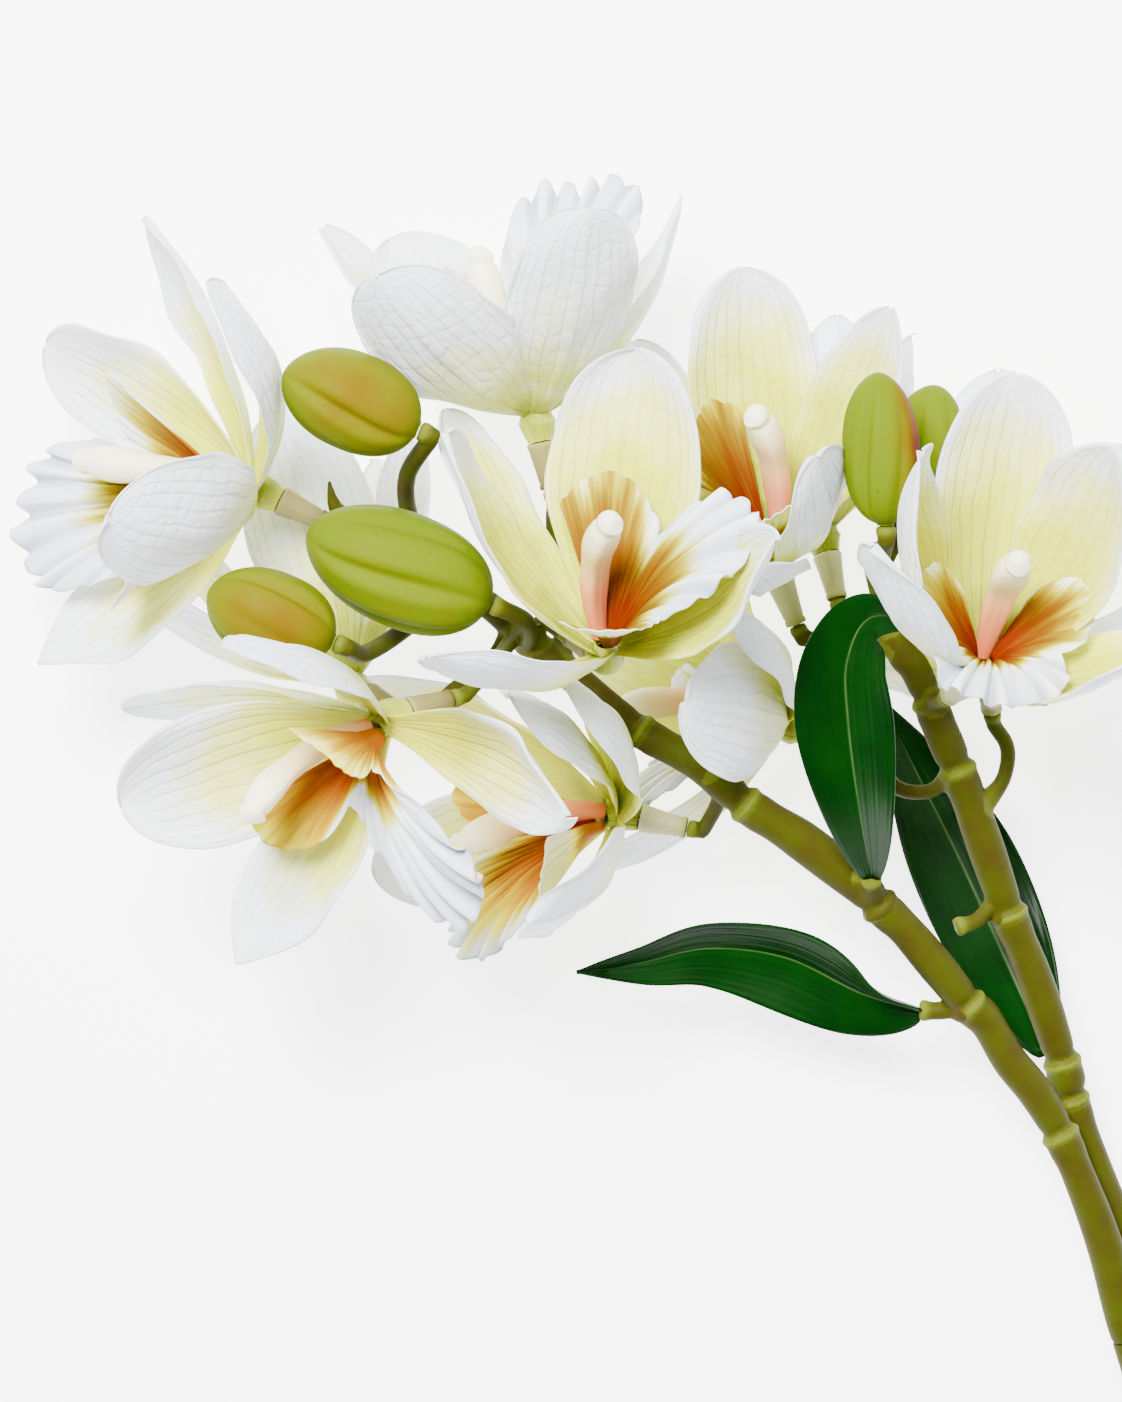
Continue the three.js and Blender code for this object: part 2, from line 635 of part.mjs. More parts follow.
function bud({ foot, tip, diameter }) {
  const start = vec(foot);
  const axis = vec(tip).sub(start);
  const centres = [];
  const radii = [];
  for (let i = 0; i <= BUD.rings; i++) {
    const s = i / BUD.rings;
    centres.push(start.clone().addScaledVector(axis, s));
    const belly = (diameter / 2) * Math.sin(Math.PI * s ** BUD.lean) ** BUD.fullness;
    radii.push(Math.max(BUD.foot * (1 - 0.5 * s), belly || 0));
  }
  const ridge = (angle) => 1 + BUD.ridge * Math.cos(3 * angle);
  return skin(rings(centres, radii, BUD.sides, ridge));
}

function leaf({ midrib, face, width, shape }) {
  const curve = new THREE.CatmullRomCurve3(midrib.map(vec), false, "catmullrom", 0.5);
  const facing = unit(face);
  const rows = LEAF.rows.map((s) => {
    const centre = curve.getPoint(s);
    const tangent = curve.getTangent(s).normalize();
    const up = squareTo(tangent, facing);
    const across = tangent.clone().cross(up);
    const bulge = Math.sin(Math.PI * s ** shape) ** 0.9;
    const half = (width / 2) * Math.max(LEAF.tip, LEAF.root * (1 - s) + (1 - LEAF.root) * bulge);
    return Array.from({ length: LEAF.columns + 1 }, (_, j) => {
      const t = (2 * j) / LEAF.columns - 1;
      return centre.clone()
        .addScaledVector(across, half * t)
        .addScaledVector(up, half * Math.abs(t) ** 1.4 * Math.tan(LEAF.fold * RAD));
    });
  });
  return sheet(rows, LEAF.thickness);
}

// ------------------------------------------------------------------------------ stems

// The stalk of a bloom runs on into its sleeve.
function bloomStalk(path, name) {
  const { at, stalk: direction } = BLOOMS[name];
  const away = unit(direction);
  const end = vec(at).addScaledVector(away, STALK_END);
  const before = end.clone().addScaledVector(away, 4);
  return stalk([...path, before.toArray(), end.toArray()]);
}

// The stalk of a bud meets its foot end to end.
function budStalk(path, index) {
  const { foot, tip } = BUDS[index];
  const away = vec(foot).sub(vec(tip)).normalize();
  const end = vec(foot).addScaledVector(away, GAP);
  const before = end.clone().addScaledVector(away, 3.5);
  return stalk([...path, before.toArray(), end.toArray()], BUD.foot + 0.1);
}

function mainStem() {
  return fuse([
    stem(MAIN_PATH, [MAIN_RADIUS, MAIN_RADIUS, MAIN_RADIUS, MAIN_RADIUS + 0.6, MAIN_RADIUS], [], 1),
    stem(ARM_FRONT, [4.6, 4.4, 4.4], [], 3),
    stem(ARM_BACK, [4.6, 4.4, 4.4], [], 3),
  ]);
}

function branchFront() {
  return fuse([
    stem(FRONT_PATH, FRONT_RADII, FRONT_NODES, 1),
    ...Object.entries(FRONT_STALKS).map(([name, path]) => bloomStalk(path, name)),
    ...Object.entries(FRONT_BUD_STALKS).map(([index, path]) => budStalk(path, index)),
    ...LEAF_JOINTS.map((path) => stalk(path, 2.4)),
  ]);
}

function branchBack() {
  return fuse([
    stem(BACK_PATH, BACK_RADII, BACK_NODES, 1),
    ...Object.entries(BACK_STALKS).map(([name, path]) => bloomStalk(path, name)),
    ...Object.entries(BACK_BUD_STALKS).map(([index, path]) => budStalk(path, index)),
    stalk(STUB, 2.1),
  ]);
}

// ---------------------------------------------------------------------------- assembly

const spray = new THREE.Group();

function place(name, geometry, colour, roughness) {
  const material = new THREE.MeshStandardMaterial({ color: colour, roughness, metalness: 0 });
  const mesh = new THREE.Mesh(geometry, material);
  mesh.name = name;
  spray.add(mesh);
}

place("main_stem", mainStem(), COLOURS.stem, 0.5);
place("branch_front", branchFront(), COLOURS.stem, 0.5);
place("branch_back", branchBack(), COLOURS.stem, 0.5);

for (const [name, bloom] of Object.entries(BLOOMS)) {
  place(`bloom_${name}_tepals`, tepals(bloom), COLOURS.tepal, 0.45);
  place(`bloom_${name}_lip`, lip(bloom), COLOURS.lip, 0.45);
  place(`bloom_${name}_column`, column(bloom), COLOURS.column, 0.4);
  place(`bloom_${name}_sleeve`, sleeve(bloom), COLOURS.sleeve, 0.6);
}

BUDS.forEach((shape, i) => place(`bud_${i + 1}`, bud(shape), COLOURS.bud, 0.35));
LEAVES.forEach((shape, i) => place(`leaf_${i + 1}`, leaf(shape), COLOURS.leaf, 0.4));

const extent = new THREE.Box3().setFromObject(spray);
const middle = extent.getCenter(new THREE.Vector3());
spray.position.set(-middle.x, -middle.y, -extent.min.z);

const cymbidium = new THREE.Group();
cymbidium.add(spray);
export default cymbidium;
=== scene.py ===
"""Cymbidium orchid stem: the blooms, buds, leaves and canes that dress the part.

Lengths are millimetres until a mesh is made. A place is given from a point on the
surface below the middle of the flowers, as in the part's source.
"""

import math

import bpy
import numpy as np
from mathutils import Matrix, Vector, kdtree


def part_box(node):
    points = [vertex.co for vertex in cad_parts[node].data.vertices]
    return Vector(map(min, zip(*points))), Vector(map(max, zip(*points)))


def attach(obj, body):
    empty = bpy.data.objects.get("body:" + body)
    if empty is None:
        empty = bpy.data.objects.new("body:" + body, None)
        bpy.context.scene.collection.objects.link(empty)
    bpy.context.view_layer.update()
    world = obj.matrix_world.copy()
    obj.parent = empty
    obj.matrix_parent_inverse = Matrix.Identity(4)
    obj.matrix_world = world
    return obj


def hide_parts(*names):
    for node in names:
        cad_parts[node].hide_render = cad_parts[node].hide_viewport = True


bl_info = {
    "name": "Cymbidium orchid stem",
    "version": (1, 0, 0),
    "blender": (4, 5, 0),
    "location": "3D View > Sidebar > Orchid",
    "description": "Builds the petals, lips, columns, buds, leaves and canes of a cymbidium stem",
    "category": "Add Mesh",
}

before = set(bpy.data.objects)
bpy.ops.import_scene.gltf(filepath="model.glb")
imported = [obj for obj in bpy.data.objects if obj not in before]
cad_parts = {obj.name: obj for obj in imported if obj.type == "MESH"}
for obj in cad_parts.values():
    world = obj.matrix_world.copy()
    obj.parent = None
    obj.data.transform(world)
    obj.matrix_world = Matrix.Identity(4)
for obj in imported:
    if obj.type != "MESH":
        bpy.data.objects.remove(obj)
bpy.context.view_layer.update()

# ------------------------------------------------------------------ sizes of the pieces

GAP = 0.3  # between two pieces that meet
LOWEST = 0.02  # least height of any point above the surface
BLADE_LIFT = 0.1  # least height of a thin piece's under side

# Root and tip are shares of the width and widest of the length. Shoulder, blunt and sharp are exponents of
# the outline, cup is degrees, rise is how far out it starts, and the last two rows are heights on its face.
TEPAL = {
    "length": 73.0, "width": 37.0, "root": 0.2, "tip": 0.03, "widest": 0.56, "shoulder": 1.15,
    "blunt": (2.7, 0.5), "sharp": (2.0, 0.85), "cup": 40.0, "rise": 2.6,
    "edge_waves": (0.9, 0.45), "midrib": 0.6, "folds": (0.45, 0.25), "rim": 1.0,
    "thickness": (0.16, 0.32),
}
# The places and widths of the lobes are degrees round the lip. The last four rows hold what a bloom's own
# lip may set otherwise. It goes round by spread each way, and its side lobes stand farther round by set. The
# notches reach out as far as notch. Its side lobes lean by the two angles of wall, at foot and tip, and its
# middle lobe by floor and flare. Roll turns the whole lip. Lobe, mid, span, frill and scallops are shares of
# the rule. A higher pale, edge (side lobes), clear (middle lobe) or soak (outer face) ends the paint sooner.
# Strength is painted light and shade: above 1 it brightens the paint of a lip that lies in shade, and below 1
# it darkens the paint of a lip in full light.
LIP = {
    "claw": 6.2, "claw_radius": 2.4, "offset": 0.9, "throat": 12.0, "throat_radius": 5.2, "ruffles": 12,
    "mid_lobe": 50.0, "mid_width": 40.0, "roll_width": 52.0, "side_lobe": 31.0, "side_at": 92.0,
    "keel": 1.2, "curl": 1.6, "thickness": (0.15, 0.25),
    "spread": 120, "side_width": 41, "set": 0, "notch": 16,
    "wall": (40, 26), "floor": 28, "roll": 0,
    "lobe": 1.0, "mid": 1.0, "span": 1.0, "frill": 1.0, "scallops": 1.0,
    "pale": 1.0, "edge": 0.82, "clear": 1.3, "soak": 1.3, "strength": 1.0,
}
# It leans from the first to the second angle, towards the dorsal sepal. The last four are shares of a radius.
COLUMN = {
    "foot": 5.8, "offset": 2.0, "length": 40.0, "lean": (14.0, -22.0), "steps": 60, "cap": 2.6,
    "radii": (2.0, 2.9, 3.6, 3.7, 4.5, 3.2), "groove": 0.34, "wings": 0.1, "neck": 0.16, "beak": 0.22,
}
RECEPTACLE = {"back": 4.8, "front": 5.0, "radii": (3.4, 4.8, 2.6)}
# Places along a sleeve, and the share of its mouth's radius at each.
SLEEVE = {
    "mouth": 3.9, "length": 12.0, "lobes": 0.03,
    "profile": (
        (0, 0.86), (0.25, 0.96), (0.7, 1.0), (1.5, 0.95), (4, 0.86), (8, 0.74), (9.8, 0.7), (10.3, 0.63),
        (10.8, 0.72), (11.7, 0.72), (12, 0.64),
    ),
}
STALK_RADIUS = 2.0
LEAF_JOINT_RADIUS = 2.4
STUB_RADIUS = 2.1
MAIN_RADIUS = 5.0
STEM_SIDES = 8
# Heights of a cane's ring, of the rise before it and the dip after it, and of its belly between two rings.
CANE = {"ring": 1.0, "rise": 0.55, "dip": 0.6, "belly": 0.5, "sides": 28}
# Seam and rib are shares of a bud's radius.
BUD = {"foot": 2.2, "seam": 0.16, "rib": 0.06}
LEAF = {
    "tip": 0.02, "sunk": 1.3, "waves": (1.3, 0.6), "midrib": 0.35, "keel": 0.3, "veins": 0.07,
    "thickness": (0.2, 0.25),
}

# Where each tepal grows, in degrees round the bloom from its dorsal sepal.
AZIMUTH = {"dorsal": 0, "petal_r": 65, "petal_l": -65, "sepal_r": 128, "sepal_l": -128}
IN_VIEW = "abcdefg"  # the blooms whose lips are seen, and so get the full mesh

# Each tepal: the way its tip lies, curl and turn in degrees, width as a share of the rule, and how pointed.
BLOOMS = {
    "a": {
        "at": (-75, 52.5, 64), "facing": (-0.97, 0, 0.2), "dorsal": (0, 0.2, 0.98), "stalk": (0.9, -0.43, 0),
        "tepals": {
            "dorsal": ((-8, 45, 45), 75, 25, 0.95, 0.6),
            "petal_l": ((-27, 66, 2), 40, 15, 1, 1),
            "petal_r": ((-31, -6, 60), 70, 0, 1.1, 0),
            "sepal_l": ((-53, 36, -26), 45, 0, 1.05, 0.1),
            "sepal_r": ((-54, -39, -18), 45, -22, 0.9, 0.9),
        },
        "lip": {
            "size": 1.15, "flare": 62, "wall": (44, 32), "pale": 1.1, "span": 1.1, "frill": 0.85,
            "scallops": 0.95,
        },
        "yaw": -10, "tint": 0.4, "paler": 0.14, "sleeve": "olive",
    },
    "b": {
        "at": (-6, 70, 66), "facing": (-0.05, 0.97, 0.2), "dorsal": (-0.75, 0, 0.6),
        "stalk": (0.2, -0.95, -0.1),
        "tepals": {
            "dorsal": ((-34, 29, 50), 50, 40, 1.05, 0),
            "petal_l": ((12, 45, 52), 40, 0, 0.97, 0),
            "petal_r": ((-50, 46, -14), 35, 0, 0.8, 0.8),
            "sepal_l": ((34, 56, -26), 45, 5, 0.9, 0.8),
            "sepal_r": ((-36, 44, -36), 45, 0, 1, 0.1),
        },
        "lip": {
            "size": 1.1, "flare": 56, "wall": (42, 30), "roll": 25, "span": 1.15, "frill": 0.75,
            "scallops": 0.9,
        },
        "lean": (32, 6), "tint": 0.3, "paler": 0.14, "sleeve": "olive",
    },
    "c": {
        "at": (11, 11, 92), "facing": (0, 0.7, 0.7), "dorsal": (-0.75, 0.45, -0.5),
        "stalk": (-0.5, 0.28, -0.82),
        "tepals": {
            "dorsal": ((-40, 62, -17), 40, 25, 0.85, 0),
            "petal_l": ((-36, 53, 32), 50, -10, 0.8, 0.1),
            "petal_r": ((6.5, 71, 4), 30, 0, 1.12, 0),
            "sepal_l": ((-41, 0, 55), 50, 8, 0.95, 0.7),
            "sepal_r": ((37, 25, 56), 50, 0, 0.85, 0.6),
        },
        "lip": {
            "size": 0.95, "flare": 74, "wall": (44, 34), "lobe": 1.1, "mid": 0.95, "roll": 42, "span": 1.1,
            "frill": 1.2, "scallops": 0.8, "edge": 0.68, "strength": 0.85,
        },
        "paler": -0.05, "sleeve": "olive",
    },
    "d": {
        "at": (54, 35.5, 43), "facing": (-0.1, 0.8, 0.6), "dorsal": (0.7, 0.2, -0.6),
        "stalk": (0.35, -0.9, -0.1),
        "tepals": {
            "dorsal": ((24, 54, 26), 45, 10, 0.8, 0.7),
            "petal_l": ((-7, 70, 10), 35, 0, 1, 0),
            "petal_r": ((5, 22, 66), 55, 0, 0.85, 0.5),
            "sepal_l": ((-32, 56, -30), 40, 0, 1, 0),
            "sepal_r": ((-10, -3, 60), 42, 0, 0.82, 0.7),
        },
        "lip": {
            "size": 0.88, "flare": 85, "wall": (42, 28), "lobe": 1.2, "mid": 0.8, "pale": 0.8, "span": 1.1,
            "edge": 0.8, "strength": 0.8,
        },
        "paler": -0.05, "sleeve": "cream",
    },
    "e": {
        "at": (103.5, 6.5, 80), "facing": (0.15, 0.6, 0.77), "dorsal": (0, 0.78, -0.62),
        "stalk": (-0.35, -0.3, -0.88),
        "tepals": {
            "dorsal": ((8, 69, 14), 35, 0, 1, 0),
            "petal_l": ((-15, 50, 44), 65, 15, 1.1, 0.4),
            "petal_r": ((27, 50, 38), 55, 0, 1.05, 0.4),
            "sepal_l": ((-27, 29, 57), 40, 10, 0.85, 0.7),
            "sepal_r": ((37, 10, 52), 55, 0, 0.95, 0.6),
        },
        "lip": {
            "size": 0.9, "flare": 100, "floor": 45, "wall": (38, 16), "lobe": 0.92, "mid": 0.56, "span": 1.6,
            "frill": 2.2, "notch": 10, "set": 8, "side_width": 36, "spread": 135, "clear": 2.1,
            "scallops": 0.66, "edge": 0.78, "strength": 0.9,
        },
        "sleeve": "cream",
    },
    "f": {
        "at": (-42, -4, 92), "facing": (-0.62, -0.6, 0.5), "dorsal": (-0.73, 0.67, -0.1),
        "stalk": (0.85, 0.25, -0.45),
        "tepals": {
            "dorsal": ((-63, 2, -30), 35, 0, 0.9, 0.7),
            "petal_l": ((-64, -21, -22), 35, 0, 1.05, 0),
            "petal_r": ((-34, 16, 60), 45, 0, 0.8, 0.7),
            "sepal_l": ((-37, -56, -18), 35, 0, 0.9, 0.9),
            "sepal_r": ((42, -21, 50), 50, -25, 0.8, 0.7),
        },
        "lip": {
            "size": 1.0, "flare": 104, "floor": 62, "wall": (44, 34), "mid": 0.92, "pale": 0.9, "span": 0.9,
            "frill": 1.4, "notch": 11, "set": 8, "clear": 3.0, "soak": 0.5, "edge": 0.72, "strength": 1.75,
        },
        "lean": (24, -12), "tint": 0.6, "paler": 0.16, "sleeve": "olive",
    },
    "g": {
        "at": (15.5, -29, 36), "facing": (-0.9, -0.15, 0.4), "dorsal": (0.1, 0.85, 0.5),
        "stalk": (0.95, -0.2, 0.1),
        "tepals": {
            "dorsal": ((-26, 28, 60), 40, 0, 0.9, 0),
            "petal_l": ((-62, 31, -5), 35, 0, 0.9, 0.3),
            "petal_r": ((-13, 32, 58), 60, 35, 1, 0.2),
            "sepal_l": ((-57, -14, -30), 40, 0, 0.9, 0.3),
            "sepal_r": ((-22, -22, 62), 50, 0, 0.9, 0.6),
        },
        "lip": {
            "size": 0.92, "flare": 66, "wall": (44, 32), "lobe": 1.1, "mid": 0.9, "pale": 0.7, "span": 1.1,
            "frill": 1.3, "strength": 1.9,
        },
        "sleeve": "cream",
    },
    "h": {
        "at": (59, -6.5, 32), "facing": (-0.95, 0.1, 0.1), "dorsal": (0, 0.9, 0.4), "stalk": (1, 0, -0.05),
        "tepals": {
            "dorsal": ((-14, 21, 54), 50, 0, 0.85, 0.1),
            "petal_l": ((-27, 40, -22), 45, 0, 0.95, 0.3),
            "petal_r": ((-26, 6, 63), 55, 0, 1, 0.1),
            "sepal_l": ((-45, 22, -23), 45, 0, 0.9, 0.5),
            "sepal_r": ((-34, -26, -24), 40, 0, 0.95, 0.6),
        },
        "lip": {"size": 0.72, "flare": 60, "wall": (42, 28), "mid": 0.9, "pale": 1.2},
        "sleeve": "cream",
    },
    "i": {
        "at": (-53.5, 3.5, 40), "facing": (-0.3, 0.75, -0.35), "dorsal": (0, 0.3, 0.9),
        "stalk": (0.78, -0.42, 0.4),
        "tepals": {
            "dorsal": ((-13, 52, 0), 45, 0, 1, 0.3),
            "petal_l": ((13, 58, -20), 45, 0, 0.9, 0),
            "petal_r": ((-46, 22, -16), 50, -25, 1.1, 0),
            "sepal_l": ((2, 50, -36), 45, 0, 0.9, 0.5),
            "sepal_r": ((-40, 34, -34), 45, 0, 0.95, 0.5),
        },
        "lip": {"size": 0.5, "flare": 40, "frill": 0.8},
        "sleeve": "olive",
    },
    "j": {
        "at": (67.5, 42.5, 29), "facing": (0.05, 0.97, -0.2), "dorsal": (0, 0.2, 1),
        "stalk": (0.2, -0.93, 0.25),
        "size": 0.76,
        "tepals": {
            "dorsal": ((3, 52, 8), 50, 0, 0.85, 0.3),
            "petal_l": ((20, 48, -4), 50, 0, 0.85, 0.3),
            "petal_r": ((-18, 48, -4), 50, 0, 0.85, 0.3),
            "sepal_l": ((14, 50, -26), 50, 0, 0.85, 0.5),
            "sepal_r": ((-12, 50, -26), 50, 0, 0.85, 0.5),
        },
        "lip": {"size": 0.33, "flare": 30, "frill": 0.6},
        "sleeve": "cream",
    },
    "k": {
        "at": (107, 11.5, 56), "facing": (0.15, 0.5, -0.8), "dorsal": (0, 0.8, 0.5),
        "stalk": (0.15, -0.8, -0.55),
        "tepals": {
            "dorsal": ((4, 62, -14), 45, 0, 0.9, 0.2),
            "petal_l": ((34, 44, -26), 45, 0, 0.85, 0.2),
            "petal_r": ((-12, 48, -40), 45, 0, 0.85, 0.2),
            "sepal_l": ((38, 9, -46), 45, 0, 0.85, 0.5),
            "sepal_r": ((-30, 2, -50), 45, 0, 0.85, 0.5),
        },
        "lip": {"size": 0.5, "flare": 45, "frill": 0.8},
        "sleeve": "cream",
    },
}

# Twist and the place of the seams are degrees. The blush lies on the lit side, and a higher focus narrows it.
BUDS = [
    {
        "foot": (-35, 66.5, 95), "tip": (-68, 80.5, 97), "diameter": 24, "blush": 0.54, "lit": (-0.3, 0.2, 1),
        "focus": 2, "twist": 12, "set": 40, "ribs": 0.4,
    },
    {
        "foot": (-17.5, 24, 84), "tip": (-62.5, 42, 88), "diameter": 28, "blush": 0.12, "lit": (0, 0, 1),
        "focus": 2, "twist": -14, "set": 165, "ribs": 1.6,
    },
    {
        "foot": (-56, 14.5, 92), "tip": (-86.5, 27, 95), "diameter": 23, "blush": 0.6, "lit": (0, -0.2, 1),
        "focus": 2, "twist": 10, "set": 100, "ribs": 0.8,
    },
    {
        "foot": (80, 43.5, 89), "tip": (77.5, 80.5, 96), "diameter": 19, "blush": 1.05,
        "lit": (0.93, 0, 0.36), "focus": 9, "twist": 14, "set": 150, "ribs": 1.2,
    },
    {
        "foot": (89.5, 55.5, 68), "tip": (94, 79, 70), "diameter": 17, "blush": 0.1, "lit": (0, 0, 1),
        "focus": 2, "twist": -12, "set": 160, "ribs": 1.4,
    },
]

MAIN_FLAT = MAIN_RADIUS * math.cos(math.pi / STEM_SIDES)
FORK = (159, -200, 5.5)
MAIN_PATH = [
    (172, -252, MAIN_FLAT), (168, -236, MAIN_FLAT), (164.5, -221, MAIN_FLAT + 0.2), FORK, (156.5, -191, 7),
]
MAIN_RADII = (5, 5, 5, 5.6, 5)
ARM_FRONT = [FORK, (153, -182, 11), (147.8, -166, 15.5)]
ARM_BACK = [FORK, (155.5, -182, 6.5), (153, -166, 7.6)]
ARM_RADII = (4.6, 4.4, 4.4)

# A cane's nodes are numbers of points of its path.
FRONT_PATH = [
    (147.7, -165.7, 15.6), (145.7, -159.6, 17.3), (141.5, -142.5, 20), (135.5, -126.5, 23.5),
    (129, -112, 26.5), (122, -100.5, 29), (115.5, -92.5, 31), (109, -82, 34), (104.5, -78, 36),
    (97, -69, 39), (88, -58.5, 43), (81, -52, 46), (76, -47, 48), (60.5, -35, 53),
    (46.5, -26, 57), (35, -16, 59), (20, -7.5, 60), (-0.5, 9, 58), (-18, 24, 58), (-38, 38, 60),
]
FRONT_NODES = (4, 8, 11, 14, 16)
FRONT_RADII = (4.4, 4.3, 4.3, 4.2, 4.2, 4.2, 4.2, 4.3, 4.3, 4.3, 4.3, 4.3, 4.6, 4.9, 4.2, 4, 3.8, 3.6, 3.3, 3)
BACK_PATH = [
    (153, -165.7, 7.6), (151.2, -154.5, 8.4), (146.5, -138.5, 10), (142, -128.5, 12),
    (132.5, -103.5, 18), (130, -93.5, 21), (121.5, -69.5, 29), (115, -54.5, 34), (106, -30, 41),
    (101, -17.5, 45), (96, -6, 48), (93.5, 0, 50), (89.5, 8.5, 52), (86, 13, 53), (80.5, 30.5, 56),
    (78, 39.5, 58),
]
BACK_NODES = (4, 5, 7, 9, 11)
BACK_RADII = (4.4, 4.3, 4.2, 4.2, 4.2, 4.2, 4.2, 4.2, 4.4, 4.2, 4, 3.9, 3.7, 3.5, 3.2, 3)

FRONT_STALKS = {
    "a": [(-38, 38, 60), (-48, 43, 62)],
    "b": [(1, 8, 58), (-1, 30, 53), (-2, 45, 58)],
    "c": [(-6, 14, 58), (-5, 20, 66)],
    "f": [(-10.5, 18, 58), (-14, 13, 68), (-18, 8, 79)],
    "g": [(38, -18, 59), (40, -25, 48)],
    "i": [(-12, 19, 57), (-18, 10, 56), (-27, 3, 54)],
}
BACK_STALKS = {
    "d": [(86, 13, 53), (76, 15, 50), (67, 16, 43)],
    "e": [(94, 0, 50), (95, 0, 57)],
    "h": [(100.5, -17, 45), (94.5, -23, 40), (86, -22, 34), (82, -14, 31)],
    "j": [(84, 18, 54), (76, 20, 48)],
    "k": [(108, -26.5, 41), (113, -20, 41), (114, -12, 42)],
}
FRONT_BUD_STALKS = {
    0: [(-34, 36, 60), (-38, 46, 66), (-38, 56, 82)],
    1: [(-9, 14, 58), (-8, 17, 70), (-9, 20, 79)],
    2: [(-28, 31, 59), (-37, 20, 63), (-48, 12, 79)],
}
BACK_BUD_STALKS = {
    3: [(79, 36, 58), (80, 36, 70)],
    4: [(80, 34, 57), (84.5, 41, 62)],
}
LEAF_JOINTS = [
    [(104.5, -78, 36), (98, -79.5, 34.5), (92, -79.5, 34)],
    [(81, -52, 46), (79, -48, 52), (78.3, -44.5, 56)],
]
BRACT = [(-54, 45, 62), (-57, 49.5, 65), (-58.2, 55.4, 67)]
BRACT_RADII = (3.0, 0.5)
STUB = [(112, -50, 35), (107, -56, 37), (101, -58, 38)]

# Fold and twist are degrees, root is a share of the width.
LEAVES = [
    {
        "midrib": [
            (91.5, -79.5, 34), (77, -75, 31), (58, -66, 31), (38, -63.5, 33), (20.5, -67, 36), (4, -69.5, 38),
        ],
        "face": (0.1, -0.75, 0.7), "width": 26, "shape": 0.72, "root": 0.22, "fold": 26, "twist": (-6, 38),
    },
    {
        "midrib": [
            (78.2, -44, 56.6), (74, -24.5, 74), (71, -4.5, 84), (70.5, 10, 90), (76, 20.5, 96),
            (89, 18.6, 105),
        ],
        "face": (-0.15, -0.4, 0.9), "width": 26, "shape": 0.86, "root": 0.14, "fold": 16, "twist": (0, -20),
    },
    {
        "midrib": [(126, -91, 16.5), (115, -65, 9), (104.5, -41.5, 6), (94.5, -21, 4), (84, 0.5, 3)],
        "face": (0.05, 0.1, 1), "width": 31, "shape": 0.8, "root": 0.14, "fold": 16, "twist": (0, 0),
    },
]

CAMERA_HEIGHT = 1370.0  # above the surface
CAMERA_REACH = 1300.0
FRAME_HEIGHT = 350.5  # what the camera takes in from top to bottom, at its reach
SENSOR = 36.0
FLOOR_REACH = 6.0  # metres each way
# Each light's name, place from the middle in metres, diameter in metres and power in watts.
LIGHTS = (
    ("window_light", (-0.32, 0.6, 1.5), 0.7, 124.0),
    ("fill_light", (1.3, 0.2, 1.2), 1.6, 14.0),
)


def unit(v):
    """A direction at length 1."""
    v = np.asarray(v, float)
    return v / np.linalg.norm(v)


def square_to(axis, d):
    """The part of direction d that is square to axis, at length 1."""
    d = np.asarray(d, float)
    return unit(d - axis * (d @ axis))


def bell(x, middle, width, power=2):
    """A bell curve, 1 at its middle. A higher even power makes it flatter on top."""
    return np.exp(-(((x - middle) / width) ** power))


def stem_shift():
    """How far the finished stem was moved to its own origin, from the corners of its cut end."""
    low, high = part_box("main_stem")
    run = unit(np.subtract(MAIN_PATH[1], MAIN_PATH[0]))
    east = MAIN_PATH[0][0] + MAIN_FLAT * abs(run[1])
    south = MAIN_PATH[0][1] - MAIN_FLAT * abs(run[0])
    return np.array([high.x * 1000 - east, low.y * 1000 - south, 0.0])


SHIFT = stem_shift()


def metres(points):
    """Places in millimetres as the part's own metres."""
    return (np.asarray(points, float) + SHIFT) / 1000


def linear(code):
    """An sRGB hex colour as linear RGBA."""
    values = [int(code[i : i + 2], 16) / 255 for i in (1, 3, 5)]
    return tuple(v / 12.92 if v <= 0.04045 else ((v + 0.055) / 1.055) ** 2.4 for v in values) + (1.0,)


# ------------------------------------------------------------------------- mesh helpers


def show(name, mesh):
    """A new object at the origin that holds a mesh."""
    thing = bpy.data.objects.new(name, mesh)
    bpy.context.scene.collection.objects.link(thing)
    return thing


def add_field(mesh, name, values):
    """Gives each vertex of a mesh a value that its material can read."""
    mesh.attributes.new(name, "FLOAT", "POINT").data.foreach_set("value", np.asarray(values, np.float32))


def make_object(name, points, faces, uv, slots, slot_of=None, fields=None):
    """A smooth mesh object at the origin. uv is by vertex, slot_of by face, fields by vertex."""
    mesh = bpy.data.meshes.new(name)
    faces = np.asarray(faces, np.int32)
    mesh.vertices.add(len(points))
    mesh.vertices.foreach_set("co", metres(points).astype(np.float32).ravel())
    mesh.loops.add(faces.size)
    mesh.loops.foreach_set("vertex_index", faces.ravel())
    mesh.polygons.add(len(faces))
    mesh.polygons.foreach_set("loop_start", np.arange(len(faces), dtype=np.int32) * faces.shape[1])
    for material in slots:
        mesh.materials.append(material)
    if slot_of is not None:
        mesh.polygons.foreach_set("material_index", np.asarray(slot_of, np.int32))
    layer = mesh.uv_layers.new(name="UVMap")
    layer.data.foreach_set("uv", np.asarray(uv, np.float32)[faces.ravel()].ravel())
    for key, values in (fields or {}).items():
        add_field(mesh, key, values)
    mesh.update(calc_edges=True)
    mesh.validate()
    mesh.polygons.foreach_set("use_smooth", np.ones(len(mesh.polygons), bool))
    return show(name, mesh)


def finish_piece(thing, slot, *nodes):
    """Says which body a piece rides on and which nodes it replaces. slot is not used."""
    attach(thing, "root")
    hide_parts(*nodes)


